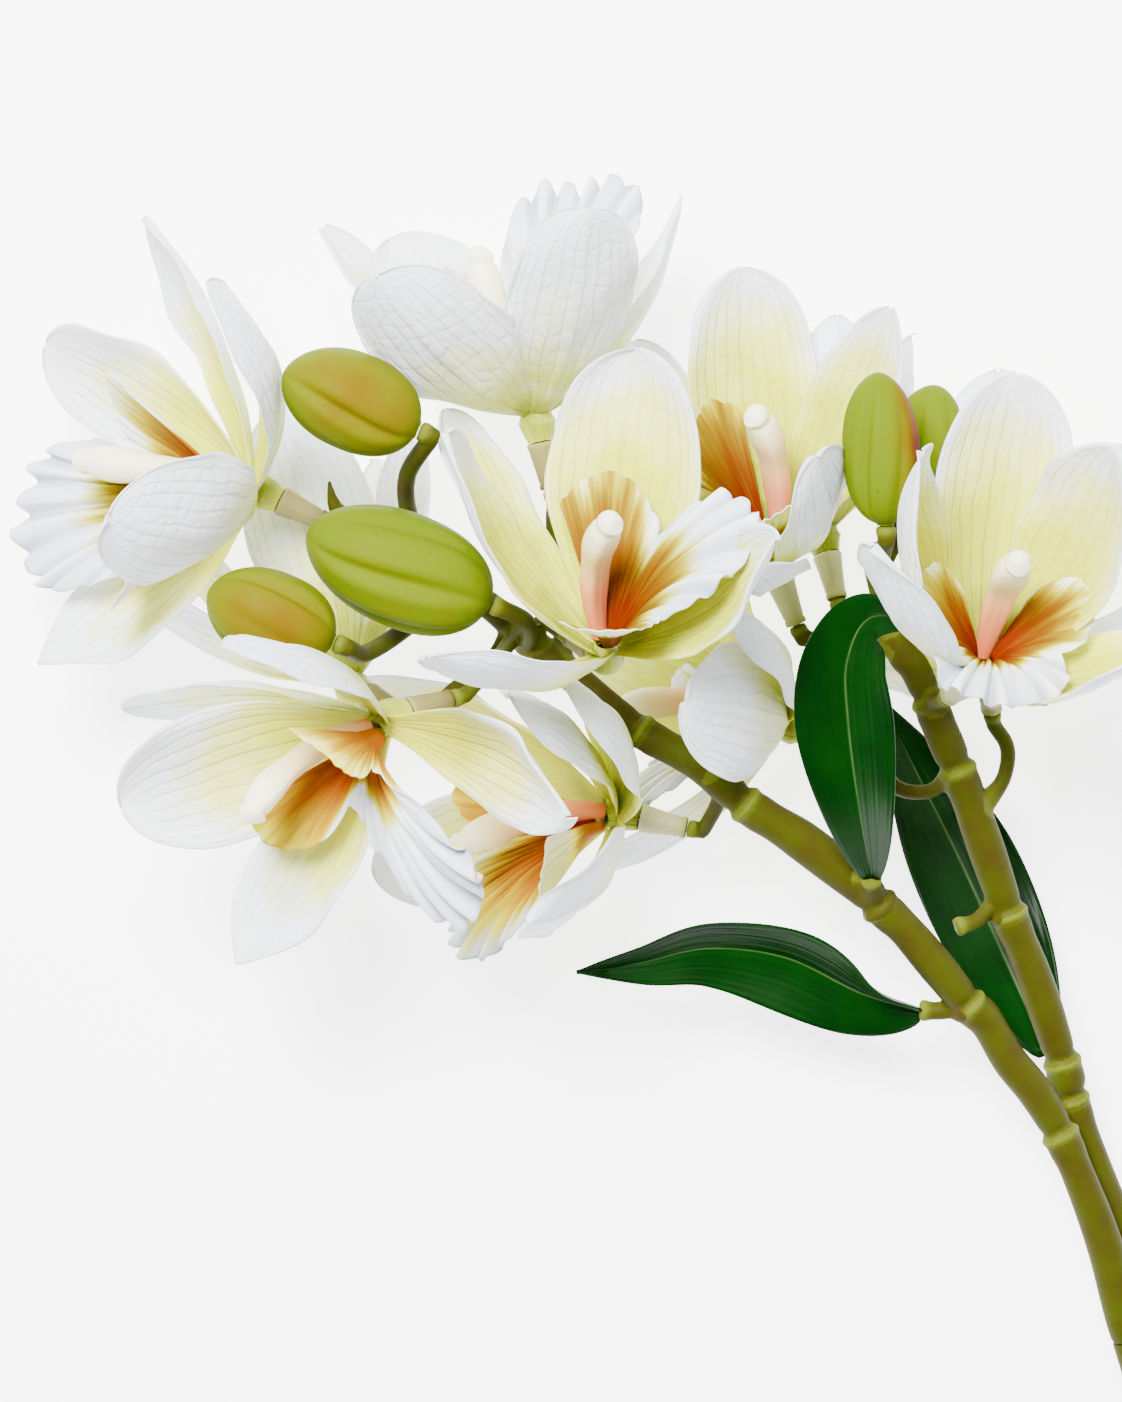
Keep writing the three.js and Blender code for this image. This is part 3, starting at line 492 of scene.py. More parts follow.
def blade(grid, towards, half, relief=0.0):
    """A closed blade round a grid of points: at its middle, its inner face looks the given way.

    Returns points, faces, uv and which faces are the inner (0) and the outer (1).
    half is the half thickness, relief an extra height of the outer face.
    """
    rows, columns = grid.shape[:2]
    half = np.broadcast_to(half, grid.shape[:2])[..., None]
    relief = np.broadcast_to(relief, grid.shape[:2])[..., None]
    grid = grid.copy()
    grid[..., 2:] = np.maximum(grid[..., 2:], half + relief + BLADE_LIFT)
    normal = np.cross(np.gradient(grid, axis=0), np.gradient(grid, axis=1))
    normal /= np.maximum(np.linalg.norm(normal, axis=-1, keepdims=True), 1e-9)
    flip = normal[rows // 2, columns // 2] @ np.asarray(towards) < 0
    if flip:
        normal = -normal
    inner = grid + normal * half
    outer = grid - normal * (half + relief)
    points = np.concatenate([inner.reshape(-1, 3), outer.reshape(-1, 3)])
    points[:, 2] = np.maximum(points[:, 2], LOWEST)
    count = rows * columns
    index = np.arange(count).reshape(rows, columns)
    corners = index[:-1, :-1], index[:-1, 1:], index[1:, 1:], index[1:, :-1]
    quads = np.stack([corner.ravel() for corner in corners], 1)
    upper = quads if flip else quads[:, ::-1]
    lower = (quads[:, ::-1] if flip else quads) + count
    rim = np.concatenate([index[0, :-1], index[:-1, -1], index[-1, :0:-1], index[:0:-1, 0]])
    after = np.roll(rim, -1)
    edge = np.stack([rim, after, after + count, rim + count], 1)
    edge = edge[:, ::-1] if flip else edge
    u, v = np.meshgrid(np.linspace(0, 1, columns), np.linspace(0, 1, rows))
    uv = np.tile(np.stack([u.ravel(), v.ravel()], 1), (2, 1))
    faces = np.concatenate([upper, lower, edge])
    kind = np.concatenate([np.zeros(len(upper)), np.ones(len(lower)), np.zeros(len(edge))])
    return points, faces, uv, kind


def headings(centres):
    """The way a path runs at each of its points."""
    tangents = np.gradient(centres, axis=0)
    return tangents / np.linalg.norm(tangents, axis=1)[:, None]


def carried_frames(centres):
    """The downward and sideways directions at each point of a path, carried along without twisting."""
    tangents = headings(centres)
    down = (0, 1, 0) if abs(tangents[0][2]) > 0.9 else (0, 0, -1)
    frames = []
    for tangent in tangents:
        down = square_to(tangent, down)
        frames.append((down, np.cross(tangent, down)))
    return frames


def turned_rings(centres, radii, sides, section=None, twist=None):
    """Rings of points along a path, each shaped by section and turned by its twist."""
    angles = (np.arange(sides) + 0.5) * 2 * math.pi / sides
    rings = []
    for i, (down, across) in enumerate(carried_frames(centres)):
        r = radii[i] * (section(angles, i) if section else np.ones(sides))
        a = angles + (twist[i] if twist is not None else 0.0)
        rings.append(centres[i] + r[:, None] * (np.cos(a)[:, None] * down + np.sin(a)[:, None] * across))
    return np.array(rings)


def skin(rings):
    """Points, faces and uv of a closed body through a row of rings, with a point at each end."""
    count, sides = rings.shape[:2]
    points = np.concatenate([rings.reshape(-1, 3), rings[0].mean(0)[None], rings[-1].mean(0)[None]])
    index = np.arange(count * sides).reshape(count, sides)
    following = np.roll(index, -1, axis=1)
    corners = index[:-1], following[:-1], following[1:], index[1:]
    walls = np.stack([corner.ravel() for corner in corners], 1)
    first = np.full(sides, count * sides)
    start = np.stack([following[0], index[0], first, first], 1)
    end = np.stack([index[-1], following[-1], first + 1, first + 1], 1)
    faces = np.concatenate([walls, start, end])
    a, b, c = (points[faces[:, k]] for k in (0, 1, 2))
    if np.einsum("ij,ij->i", a, np.cross(b, c)).sum() < 0:
        faces = faces[:, ::-1]
    u, v = np.meshgrid(np.arange(sides) / sides, np.linspace(0, 1, count))
    uv = np.concatenate([np.stack([u.ravel(), v.ravel()], 1), [[0.5, 0], [0.5, 1]]])
    return points, faces, uv


def join(parts):
    """Several (points, faces, uv, kind) bodies as one."""
    offset = 0
    out = [[], [], [], []]
    for points, faces, uv, kind in parts:
        for rows, values in zip(out, (points, faces + offset, uv, kind)):
            rows.append(values)
        offset += len(points)
    return [np.concatenate(o) for o in out]


def smooth_path(points, per_span):
    """Points along a Catmull-Rom curve through the given ones."""
    p = np.asarray(points, float)
    p = np.vstack([2 * p[0] - p[1], p, 2 * p[-1] - p[-2]])
    t = (np.arange(per_span) / per_span)[:, None]
    spans = [
        0.5 * (2 * b + (c - a) * t + (2 * a - 5 * b + 4 * c - d) * t**2 + (3 * b - a - 3 * c + d) * t**3)
        for a, b, c, d in zip(p[:-3], p[1:-2], p[2:-1], p[3:])
    ]
    return np.vstack(spans + [p[-2][None]])


def run_length(centres):
    """How far along a path each of its points lies."""
    return np.concatenate([[0], np.cumsum(np.linalg.norm(np.diff(centres, axis=0), axis=1))])


# ----------------------------------------------------------------------------- materials


def add_node(tree, kind, inputs=None, stops=None, **settings):
    """Adds a node with its settings, values and links, where a node given as a value is its first output.

    stops fills a colour ramp with places and colours, as sRGB hex or as linear values.
    """
    new = tree.nodes.new(kind)
    for key, value in settings.items():
        setattr(new, key, value)
    for key, value in (inputs or {}).items():
        if isinstance(value, bpy.types.Node):
            value = value.outputs[0]
        if isinstance(value, bpy.types.NodeSocket):
            tree.links.new(value, new.inputs[key])
        else:
            new.inputs[key].default_value = value
    if stops:
        elements = new.color_ramp.elements
        for _ in range(len(stops) - 2):
            elements.new(0.5)
        for element, (place, colour) in zip(elements, stops.items()):
            element.position = place
            element.color = linear(colour) if isinstance(colour, str) else colour
    return new


def start_material(name, roughness, gloss=0.5, subsurface=0.0):
    """A material with its tree and its surface node, whose light reaches 2 mm deep where it gets in."""
    material = bpy.data.materials.new(name)
    material.use_nodes = True
    surface = material.node_tree.nodes["Principled BSDF"]
    values = {
        "Roughness": roughness, "IOR": 1.45, "Specular IOR Level": gloss, "Subsurface Weight": subsurface,
        "Subsurface Radius": (1.0, 0.85, 0.6), "Subsurface Scale": 0.002,
    }
    for key, value in values.items():
        surface.inputs[key].default_value = value
    return material, material.node_tree, surface


def dress(tree, surface, colour, height=None, strength=0.0, depth=0.0):
    """Gives a surface its colour and, with a height, a relief. depth is in metres."""
    tree.links.new(colour, surface.inputs["Base Color"])
    if height is not None:
        bump = add_node(tree, "ShaderNodeBump", {"Strength": strength, "Distance": depth, "Height": height})
        tree.links.new(bump.outputs[0], surface.inputs["Normal"])


def uv_of(tree):
    """A piece's own UV, and how far it runs across the piece and along it."""
    uv = add_node(tree, "ShaderNodeUVMap", uv_map="UVMap").outputs[0]
    return uv, add_node(tree, "ShaderNodeSeparateXYZ", {0: uv}).outputs


def petal_material(name, stops, groove, quilt, vein, fading):
    """Latex-coated petal: a soft satin skin that lets some light into it, embossed with veins.

    quilt and vein are the depths of its cross folds and veins, fading how strongly a bloom's paleness counts.
    groove is the colour of the painted shade drawn in its grooves.
    """
    material, tree, surface = start_material(name, roughness=0.45, gloss=0.15, subsurface=0.3)
    uv, (u, v, _) = uv_of(tree)
    across = add_node(tree, "ShaderNodeMath", {0: u, 1: 2.0, 2: -1.0}, operation="MULTIPLY_ADD")
    edge = add_node(tree, "ShaderNodeMath", {0: across, 1: across}, operation="MULTIPLY")
    place = add_node(tree, "ShaderNodeTexCoord").outputs["Object"]
    # Washes of colour about 15 mm across.
    cloud = add_node(tree, "ShaderNodeTexNoise", {"Vector": place, "Scale": 65.0, "Detail": 3.0})
    shade = add_node(tree, "ShaderNodeMath", {0: edge, 1: 0.32, 2: v}, operation="MULTIPLY_ADD")
    shade = add_node(tree, "ShaderNodeMath", {0: cloud, 1: 0.5, 2: shade}, operation="MULTIPLY_ADD")
    paler = add_node(tree, "ShaderNodeAttribute", attribute_name="paler").outputs["Fac"]
    shade = add_node(tree, "ShaderNodeMath", {0: paler, 1: fading, 2: shade}, operation="MULTIPLY_ADD")
    shade = add_node(tree, "ShaderNodeMath", {0: shade, 1: 0.25}, operation="SUBTRACT")
    colour = add_node(tree, "ShaderNodeValToRGB", {0: shade}, stops)
    # Embossed cells: 7 across 37 mm are 5.3 mm wide, 15 along 73 mm are 4.9 mm long.
    wander = add_node(tree, "ShaderNodeTexNoise", {"Vector": uv, "Scale": 5.0, "Detail": 2.0})
    bent = add_node(
        tree, "ShaderNodeMix", {"Factor": 0.06, "A": uv, "B": wander.outputs["Color"]}, data_type="VECTOR"
    )
    cells = add_node(tree, "ShaderNodeMapping", {0: bent.outputs["Result"], "Scale": (7.0, 15.0, 1.0)})
    cells = add_node(
        tree, "ShaderNodeTexVoronoi", {"Vector": cells, "Scale": 1.0, "Randomness": 0.8},
        feature="DISTANCE_TO_EDGE", voronoi_dimensions="2D",
    )
    pillow = add_node(
        tree, "ShaderNodeMapRange", {"Value": cells, "From Max": 0.2, "To Max": quilt},
        interpolation_type="SMOOTHSTEP",
    )
    # 13 veins across 37 mm are 2.8 mm apart, and fade towards the petal's end.
    veins = add_node(
        tree, "ShaderNodeTexWave",
        {"Vector": uv, "Scale": 4.1, "Distortion": 3.0, "Detail": 2.0, "Detail Scale": 1.5},
        bands_direction="X",
    )
    grooves = add_node(
        tree, "ShaderNodeMapRange", {"Value": veins.outputs[1], "From Max": 0.35},
        interpolation_type="SMOOTHSTEP",
    )
    faint = add_node(
        tree, "ShaderNodeMapRange", {"Value": v, "From Min": 0.98, "From Max": 0.7, "To Max": vein}
    )
    height = add_node(tree, "ShaderNodeMath", {0: grooves, 1: faint, 2: pillow}, operation="MULTIPLY_ADD")
    # Painted shade: the grooves are drawn a little darker too, because the relief alone is too fine to show
    # its shade.
    low = add_node(
        tree, "ShaderNodeMapRange",
        {"Value": height, "From Max": (quilt + vein) * 0.9, "To Min": 0.17, "To Max": 0.0},
    )
    groove_shaded = add_node(
        tree, "ShaderNodeMix", {"Factor": low, "A": colour, "B": linear(groove)}, data_type="RGBA"
    )
    dress(tree, surface, groove_shaded.outputs["Result"], height, strength=0.6, depth=0.0005)
    return material


def lip_material(name, stops, streak):
    """Painted latex lip: matt paint runs from its throat to its rim in streaks, with painted blue-grey shade
    in the folds.

    streak is how far the paint's edge wanders from streak to streak.
    """
    material, tree, surface = start_material(name, roughness=0.5, gloss=0.04)
    uv = add_node(tree, "ShaderNodeUVMap", uv_map="UVMap")
    flush = add_node(tree, "ShaderNodeAttribute", attribute_name="flush").outputs["Fac"]
    # Broad and fine streaks that follow the lip outwards, about 4 mm and 1 mm wide half way out.
    broad = add_node(tree, "ShaderNodeMapping", {0: uv, "Scale": (22.0, 1.3, 1.0)})
    broad = add_node(tree, "ShaderNodeTexNoise", {"Vector": broad, "Scale": 1.0, "Detail": 1.0})
    fine = add_node(tree, "ShaderNodeMapping", {0: uv, "Scale": (80.0, 2.5, 1.0)})
    fine = add_node(tree, "ShaderNodeTexNoise", {"Vector": fine, "Scale": 1.0, "Detail": 1.0})
    both = add_node(tree, "ShaderNodeMath", {0: fine, 1: 0.6, 2: broad}, operation="MULTIPLY_ADD")
    centred = add_node(tree, "ShaderNodeMath", {0: both, 1: 0.8}, operation="SUBTRACT")
    shade = add_node(tree, "ShaderNodeMath", {0: centred, 1: streak, 2: flush}, operation="MULTIPLY_ADD")
    colour = add_node(tree, "ShaderNodeValToRGB", {0: shade}, stops)
    # Painted light and shade: where there is paint, it is brightened on a lip that lies in shade and darkened
    # on a lip in full light.
    strength = add_node(tree, "ShaderNodeAttribute", attribute_name="strength").outputs["Fac"]
    painted_light_level = add_node(
        tree, "ShaderNodeMapRange",
        {"Value": shade, "From Min": 0.5, "From Max": 0.74, "To Min": strength, "To Max": 1.0},
    )
    colour = add_node(tree, "ShaderNodeHueSaturation", {"Value": painted_light_level, "Color": colour})
    # Painted shade: the colour is darkened towards blue-grey where a point lies deep in a fold.
    fold = add_node(tree, "ShaderNodeAttribute", attribute_name="fold").outputs["Fac"]
    depth = add_node(tree, "ShaderNodeMath", {0: fold, 1: 0.8}, operation="MULTIPLY")
    folded = add_node(
        tree, "ShaderNodeMix", {"Factor": depth, "A": colour, "B": linear("#8694B0")},
        data_type="RGBA", blend_type="MULTIPLY",
    )
    dress(tree, surface, folded.outputs["Result"], fine, strength=0.5, depth=0.0004)
    return material


def column_material():
    """Waxy column: smooth and softly lit from within, pink where it stands and cream at its cap."""
    material, tree, surface = start_material("Waxy column skin", roughness=0.38, gloss=0.3, subsurface=0.25)
    _, (_, v, _) = uv_of(tree)
    stops = {0.0: "#E87040", 0.35: "#F09C6C", 0.68: "#F4DCA0", 0.86: "#F6F2D0"}
    dress(tree, surface, add_node(tree, "ShaderNodeValToRGB", {0: v}, stops).outputs[0])
    return material


def cane_material(colours):
    """Moulded cane: satin olive, browner in patches, paler on its rings, with faint grain."""
    material, tree, surface = start_material("Moulded olive cane", roughness=0.55, gloss=0.06)
    place = add_node(tree, "ShaderNodeTexCoord").outputs["Object"]
    # Patches about 8 mm across, and grain about 0.8 mm.
    cloud = add_node(tree, "ShaderNodeTexNoise", {"Vector": place, "Scale": 120.0, "Detail": 5.0})
    patch = add_node(tree, "ShaderNodeMapRange", {"Value": cloud, "From Min": 0.28, "From Max": 0.76})
    brown = add_node(
        tree, "ShaderNodeMix", {"Factor": patch, "A": colours.cane, "B": linear("#3A300A")}, data_type="RGBA"
    ).outputs["Result"]
    ring = add_node(tree, "ShaderNodeAttribute", attribute_name="ring").outputs["Fac"]
    pale = add_node(
        tree, "ShaderNodeMix", {"Factor": ring, "A": brown, "B": linear("#646E1A")}, data_type="RGBA"
    )
    grain = add_node(tree, "ShaderNodeTexNoise", {"Vector": place, "Scale": 1200.0, "Detail": 2.0})
    dress(tree, surface, pale.outputs["Result"], grain, strength=0.25, depth=0.0002)
    return material


def sleeve_material(name, near, far):
    """Moulded sleeve: matt, paler at its mouth, with fine lengthwise lines."""
    material, tree, surface = start_material(name, roughness=0.6, gloss=0.2)
    uv, (_, v, _) = uv_of(tree)
    colour = add_node(tree, "ShaderNodeValToRGB", {0: v}, {0.15: near, 0.95: far})
    # 22 lines round a mouth of 7.8 mm are 1.1 mm apart.
    lines = add_node(
        tree, "ShaderNodeTexWave", {"Vector": uv, "Scale": 7.0, "Distortion": 0.5}, bands_direction="X"
    )
    dress(tree, surface, colour.outputs[0], lines.outputs[1], strength=0.3, depth=0.0003)
    return material


def bud_material(colours):
    """Waxy bud: dull wax over lime, blushed orange and red along one side, with small dark specks."""
    material, tree, surface = start_material("Waxy bud skin", roughness=0.48, gloss=0.02)
    blush = add_node(tree, "ShaderNodeAttribute", attribute_name="blush").outputs["Fac"]
    place = add_node(tree, "ShaderNodeTexCoord").outputs["Object"]
    # Clouds about 9 mm across in the blush.
    cloud = add_node(tree, "ShaderNodeTexNoise", {"Vector": place, "Scale": 110.0, "Detail": 3.0})
    shade = add_node(tree, "ShaderNodeMath", {0: cloud, 1: 0.5, 2: blush}, operation="MULTIPLY_ADD")
    shade = add_node(tree, "ShaderNodeMath", {0: shade, 1: 0.25}, operation="SUBTRACT")
    stops = {
        0.0: tuple(colours.bud), 0.3: "#5E6200", 0.55: "#625400", 0.75: "#624600", 0.9: "#5E2C00",
        1.0: "#541400",
    }
    colour = add_node(tree, "ShaderNodeValToRGB", {0: shade}, stops)
    # Specks up to 0.9 mm across, about 6 mm apart, and grain about 1 mm.
    specks = add_node(tree, "ShaderNodeTexVoronoi", {"Vector": place, "Scale": 170.0, "Randomness": 1.0})
    dot = add_node(tree, "ShaderNodeMath", {0: specks.outputs["Distance"], 1: 0.075}, operation="LESS_THAN")
    dot = add_node(tree, "ShaderNodeMath", {0: dot, 1: 0.55}, operation="MULTIPLY")
    speckled = add_node(
        tree, "ShaderNodeMix", {"Factor": dot, "A": colour, "B": linear("#4A4A10")}, data_type="RGBA"
    )
    grain = add_node(tree, "ShaderNodeTexNoise", {"Vector": place, "Scale": 900.0, "Detail": 2.0})
    dress(tree, surface, speckled.outputs["Result"], grain, strength=0.15, depth=0.0002)
    return material


def leaf_material(colours):
    """Waxed leaf: smooth dark green with a pale midrib and close parallel veins."""
    material, tree, surface = start_material("Waxed leaf", roughness=0.32, gloss=0.1)
    uv, (u, _, _) = uv_of(tree)
    across = add_node(tree, "ShaderNodeMath", {0: u, 1: 2.0, 2: -1.0}, operation="MULTIPLY_ADD")
    away = add_node(tree, "ShaderNodeMath", {0: across}, operation="ABSOLUTE")
    stops = {0.0: "#5C6E44", 0.03: "#163C0C", 0.055: tuple(colours.leaf), 1.0: "#001400"}
    colour = add_node(tree, "ShaderNodeValToRGB", {0: away}, stops)
    place = add_node(tree, "ShaderNodeTexCoord").outputs["Object"]
    # Clouds about 11 mm across.
    cloud = add_node(tree, "ShaderNodeTexNoise", {"Vector": place, "Scale": 90.0, "Detail": 3.0})
    deep = add_node(
        tree, "ShaderNodeMix", {"Factor": cloud, "A": colour, "B": linear("#033202")}, data_type="RGBA"
    )
    # 16 veins across 26 mm are 1.6 mm apart.
    veins = add_node(
        tree, "ShaderNodeTexWave", {"Vector": uv, "Scale": 5.0, "Distortion": 0.6}, bands_direction="X"
    )
    dress(tree, surface, deep.outputs["Result"], veins.outputs[1], strength=0.12, depth=0.0003)
    return material


def floor_material():
    """Matt white paper on a light table: bright and even, so shadows stay faint."""
    material, _, surface = start_material("Matt white paper", roughness=0.9)
    surface.inputs["Base Color"].default_value = linear("#FCFCFC")
    surface.inputs["Emission Color"].default_value = linear("#FFFFFF")
    surface.inputs["Emission Strength"].default_value = 3.5
    return material


# --------------------------------------------------------------------- shapes of a bloom


def bloom_frame(bloom):
    """Where a bloom's receptacle is, and the ways that it faces and stands."""
    front = unit(bloom["facing"])
    up = square_to(front, unit(bloom["dorsal"]))
    return {
        "middle": np.asarray(bloom["at"], float), "front": front, "up": up, "side": np.cross(up, front),
        "size": bloom.get("size", 1.0),
    }


def in_bloom(of, x, y, z):
    """Points given from the receptacle: x to the side, y to the dorsal sepal, z out."""
    x, y, z = (np.asarray(k, float)[..., None] for k in (x, y, z))
    return of["middle"] + x * of["side"] + y * of["up"] + z * of["front"]


def tepal_outline(s, pointed):
    """Half width of a tepal along its length, as a share of the greatest."""
    widest, root = TEPAL["widest"], TEPAL["root"]
    low = root + (1 - root) * np.sin(np.pi / 2 * np.clip(s / widest, 0, 1)) ** TEPAL["shoulder"]
    over = np.clip((s - widest) / (1 - widest), 0, 1)
    blunt, sharp = ((1 - over**a) ** b for a, b in (TEPAL["blunt"], TEPAL["sharp"]))
    high = np.maximum(TEPAL["tip"], blunt + (sharp - blunt) * pointed)
    return np.where(s < widest, low, high)


def tepal(of, kind, bend, shape, seed):
    """One sepal or petal: cupped, curled, with a low midrib groove and a gently waved edge."""
    reach, curl, turn, share, pointed = bend
    along = unit(reach)
    azimuth, turn, bending, cup = (math.radians(a) for a in (AZIMUTH[kind], turn, curl, TEPAL["cup"]))
    outwards = of["side"] * math.sin(azimuth) + of["up"] * math.cos(azimuth)
    inner = square_to(along, of["front"] - outwards)
    inner = inner * math.cos(turn) + np.cross(along, inner) * math.sin(turn)
    across = np.cross(inner, along)
    # s runs from root to tip and t from side to side, both with closer rows near the edge.
    s = (1 - (1 - np.linspace(0, 1, shape.tepal_rows)) ** 1.45)[:, None]
    quarter = np.pi / 2 * 0.8
    t = np.sin(np.linspace(-1, 1, shape.tepal_columns) * quarter)[None] / math.sin(quarter)
    length = TEPAL["length"] * of["size"]
    angle = bending * (s - 0.5)
    forward = (np.sin(angle) + math.sin(bending / 2)) / bending * length
    sideways = (math.cos(bending / 2) - np.cos(angle)) / bending * length
    root = of["middle"] + TEPAL["rise"] * (of["front"] + outwards)
    centre = root + forward[..., None] * along + sideways[..., None] * inner
    normal = np.cos(angle)[..., None] * inner - np.sin(angle)[..., None] * along
    half = TEPAL["width"] / 2 * of["size"] * share * tepal_outline(s, pointed)
    phase = np.random.default_rng(seed).uniform(0, 6.28, 6)
    growth = np.clip(s * 2.2, 0, 1)
    half = half * (1 + 0.018 * np.sin(11 * s + phase[5] + 3 * np.sign(t)) * np.abs(t) ** 4 * growth)
    slow, quick = TEPAL["edge_waves"]
    wave = slow * np.sin((8 + phase[4]) * s + 2 * t + phase[0]) + quick * np.sin(21 * s - 3 * t + phase[1])
    wave = wave * np.abs(t) ** 3 * growth
    rib = -TEPAL["midrib"] * bell(t, 0, 0.07) * np.sin(np.pi * np.clip(s, 0, 1)) ** 0.5
    veins = np.cos(np.pi * 5 * t + 1.6 * np.sin(3.5 * s + phase[2])) * growth * (1 - s**5)
    veins = shape.vein_depth * 1000 * veins * (0.65 + 0.5 * np.sin(4 * t + 6 * s + phase[5]))
    slow, quick = TEPAL["folds"]
    folds = slow * np.sin(7 * s + 2.5 * t + phase[3]) + quick * np.sin(15 * s - 4 * t + phase[4])
    rim = -TEPAL["rim"] * np.clip((np.abs(t) - 0.86) / 0.14, 0, 1) ** 2 * growth
    height = half * (1 - np.cos(cup * t)) / cup + wave + rib + veins + folds * growth + rim
    grid = centre + (half * np.sin(cup * t) / cup)[..., None] * across + height[..., None] * normal
    thin, extra = TEPAL["thickness"]
    return blade(grid, inner, thin + extra * (1 - np.abs(t) ** 4) * (1 - s**6), -0.5 * rib)


def receptacle(bloom, of):
    """The swollen top of the stalk that the tepals grow from."""
    back, front = unit(bloom["stalk"]) * RECEPTACLE["back"], of["front"] * RECEPTACLE["front"]
    centres = smooth_path([of["middle"] + back, of["middle"], of["middle"] + front], 8)
    radii = np.interp(np.linspace(0, 2, len(centres)), (0, 1, 2), RECEPTACLE["radii"])
    points, faces, uv = skin(turned_rings(centres, radii, 20))
    return points, faces, uv * (1, 0), np.ones(len(faces))


def lip(of, own, shape, seed, fine=True):
    """The ruffled lip: a narrow claw, two standing side lobes and a middle lobe that rolls out.

    Returns a blade and, for each of its points, how far the paint has run out, how deep it lies in a fold
    (for the painted shade there) and how much its paint is brightened or darkened as painted light.
    """
    look = {**LIP, **own}
    rad = math.pi / 180
    size, notch = look["size"], look["notch"]
    columns, rows = (number if fine else number // 2 for number in (shape.lip_columns, shape.lip_rows))
    turn = np.linspace(-1, 1, columns) * look["spread"]
    arc = turn * rad
    away = np.abs(turn)
    # How far the limb reaches each way: the middle lobe, the side lobes and the notches between them.
    middle = bell(away, 0, look["mid_width"] * look["span"], 4)
    side = (1 - ((away - look["side_at"] - look["set"]) / look["side_width"]) ** 2).clip(0) ** 0.6
    reach = notch + (look["mid_lobe"] * look["mid"] - notch) * middle
    reach = size * (reach + (look["side_lobe"] * look["lobe"] - notch) * side)
    rolled = bell(away, 0, look["roll_width"] * look["span"], 4)
    gather = look["ruffles"] * arc
    phase = np.random.default_rng(seed).uniform(0, 2 * np.pi, 4)
    close = shape.scallops * look["scallops"] * arc
    close = close + 1.5 * np.sin(3 * arc + phase[0]) + 0.9 * np.sin(7 * arc + phase[1])
    loose = 0.2 + 0.8 * rolled
    frilled = rolled**1.5 * (0.75 + 0.25 * np.sin(5 * arc + phase[2]))
    crest = np.abs(np.cos(close / 2)) ** 0.7 - 0.6
    reach = reach * (1 + (0.03 + 0.045 * frilled) * crest + 0.02 * np.cos(gather * 0.7 + phase[3]))
    # The limb leans out from its first to its final angle. It is followed outwards in small steps.
    first = look["wall"][0] + (look["floor"] - look["wall"][0]) * rolled
    final = look["wall"][1] + (look["flare"] - look["wall"][1]) * rolled
    steps = 240
    small = (np.arange(steps) + 0.5)[:, None] / steps
    angles = (first + (final - first) * small**2) * rad
    out_by = np.vstack([0 * reach[None], np.cumsum(np.sin(angles) * reach / steps, 0)])
    on_by = np.vstack([0 * reach[None], np.cumsum(np.cos(angles) * reach / steps, 0)])
    r = np.linspace(0, 1, rows - 4)[:, None]
    place = np.rint(r[:, 0] * steps).astype(int)
    angle = (first + (final - first) * r**2) * rad
    # Ruffles, pleats, the two keels and the side lobes' curled tips lift it off that shape.
    ruffle = shape.ruffle * 1000 * size * look["frill"] * loose
    waves = 0.45 * np.cos(gather + phase[3]) * r**2 + frilled * np.cos(close) * (0.5 * r + 0.6 * r**3)
    pleats = shape.pleat * 1000 * np.cos(1.5 * close + 1.2 * np.sin(2.5 * r + 0.05 * turn)) * loose
    lift = ruffle * waves + pleats * np.clip(r * 3, 0, 1)
    lift = lift + look["keel"] * size * bell(away, 9, 4.5) * bell(r, 0.28, 0.2, 4)
    lift = lift - look["curl"] * size * side * r**6
    out = look["throat_radius"] + out_by[place] - lift * np.cos(angle)
    ahead = look["throat"] + on_by[place] + lift * np.sin(angle)
    roll = arc + look["roll"] * rad
    folded = roll + 0.22 * ruffle * frilled * r**2.6 * np.sin(2 * close) / np.maximum(out, 6)
    limb = in_bloom(of, out * np.sin(folded), -out * np.cos(folded) - 0.5, ahead)
    k = np.linspace(0, 1, 5)[:4, None]
    girth = look["claw_radius"] + (look["throat_radius"] - look["claw_radius"]) * k**1.3
    y = -girth * np.cos(roll) - look["offset"] + 0.4 * k
    z = look["claw"] + (look["throat"] - look["claw"]) * k + 0 * roll
    grid = np.concatenate([in_bloom(of, girth * np.sin(roll), y, z), limb])
    thin, extra = look["thickness"]
    thick = thin + extra * (1 - np.linspace(0, 1, rows)[:, None] ** 2) + 0 * turn
    points, faces, uv, kind = blade(grid, in_bloom(of, 0, 0, 25) - grid[rows // 2, columns // 2], thick)
    run = np.concatenate([np.zeros((4, 1)), r])
    lobed = np.clip((away - 44) / 26, 0, 1)
    inner_run = run**1.15 * (lobed * look["edge"] + (1 - lobed) * look["clear"]) * look["pale"]
    outer_run = 0.08 + run * look["soak"] + 0 * away
    # How deep each point lies in a fold, for the painted shade that the lip's material puts there.
    dip = run * loose * (0.5 - 0.3 * np.cos(close) - 0.2 * np.cos(1.5 * close))
    fields = {
        "flush": np.concatenate([inner_run.ravel(), outer_run.ravel()]),
        "fold": np.concatenate([dip.ravel(), (run * loose).ravel() - dip.ravel()]),
        "strength": np.full(len(points), look["strength"]),
    }
    return points, faces, uv, kind, fields


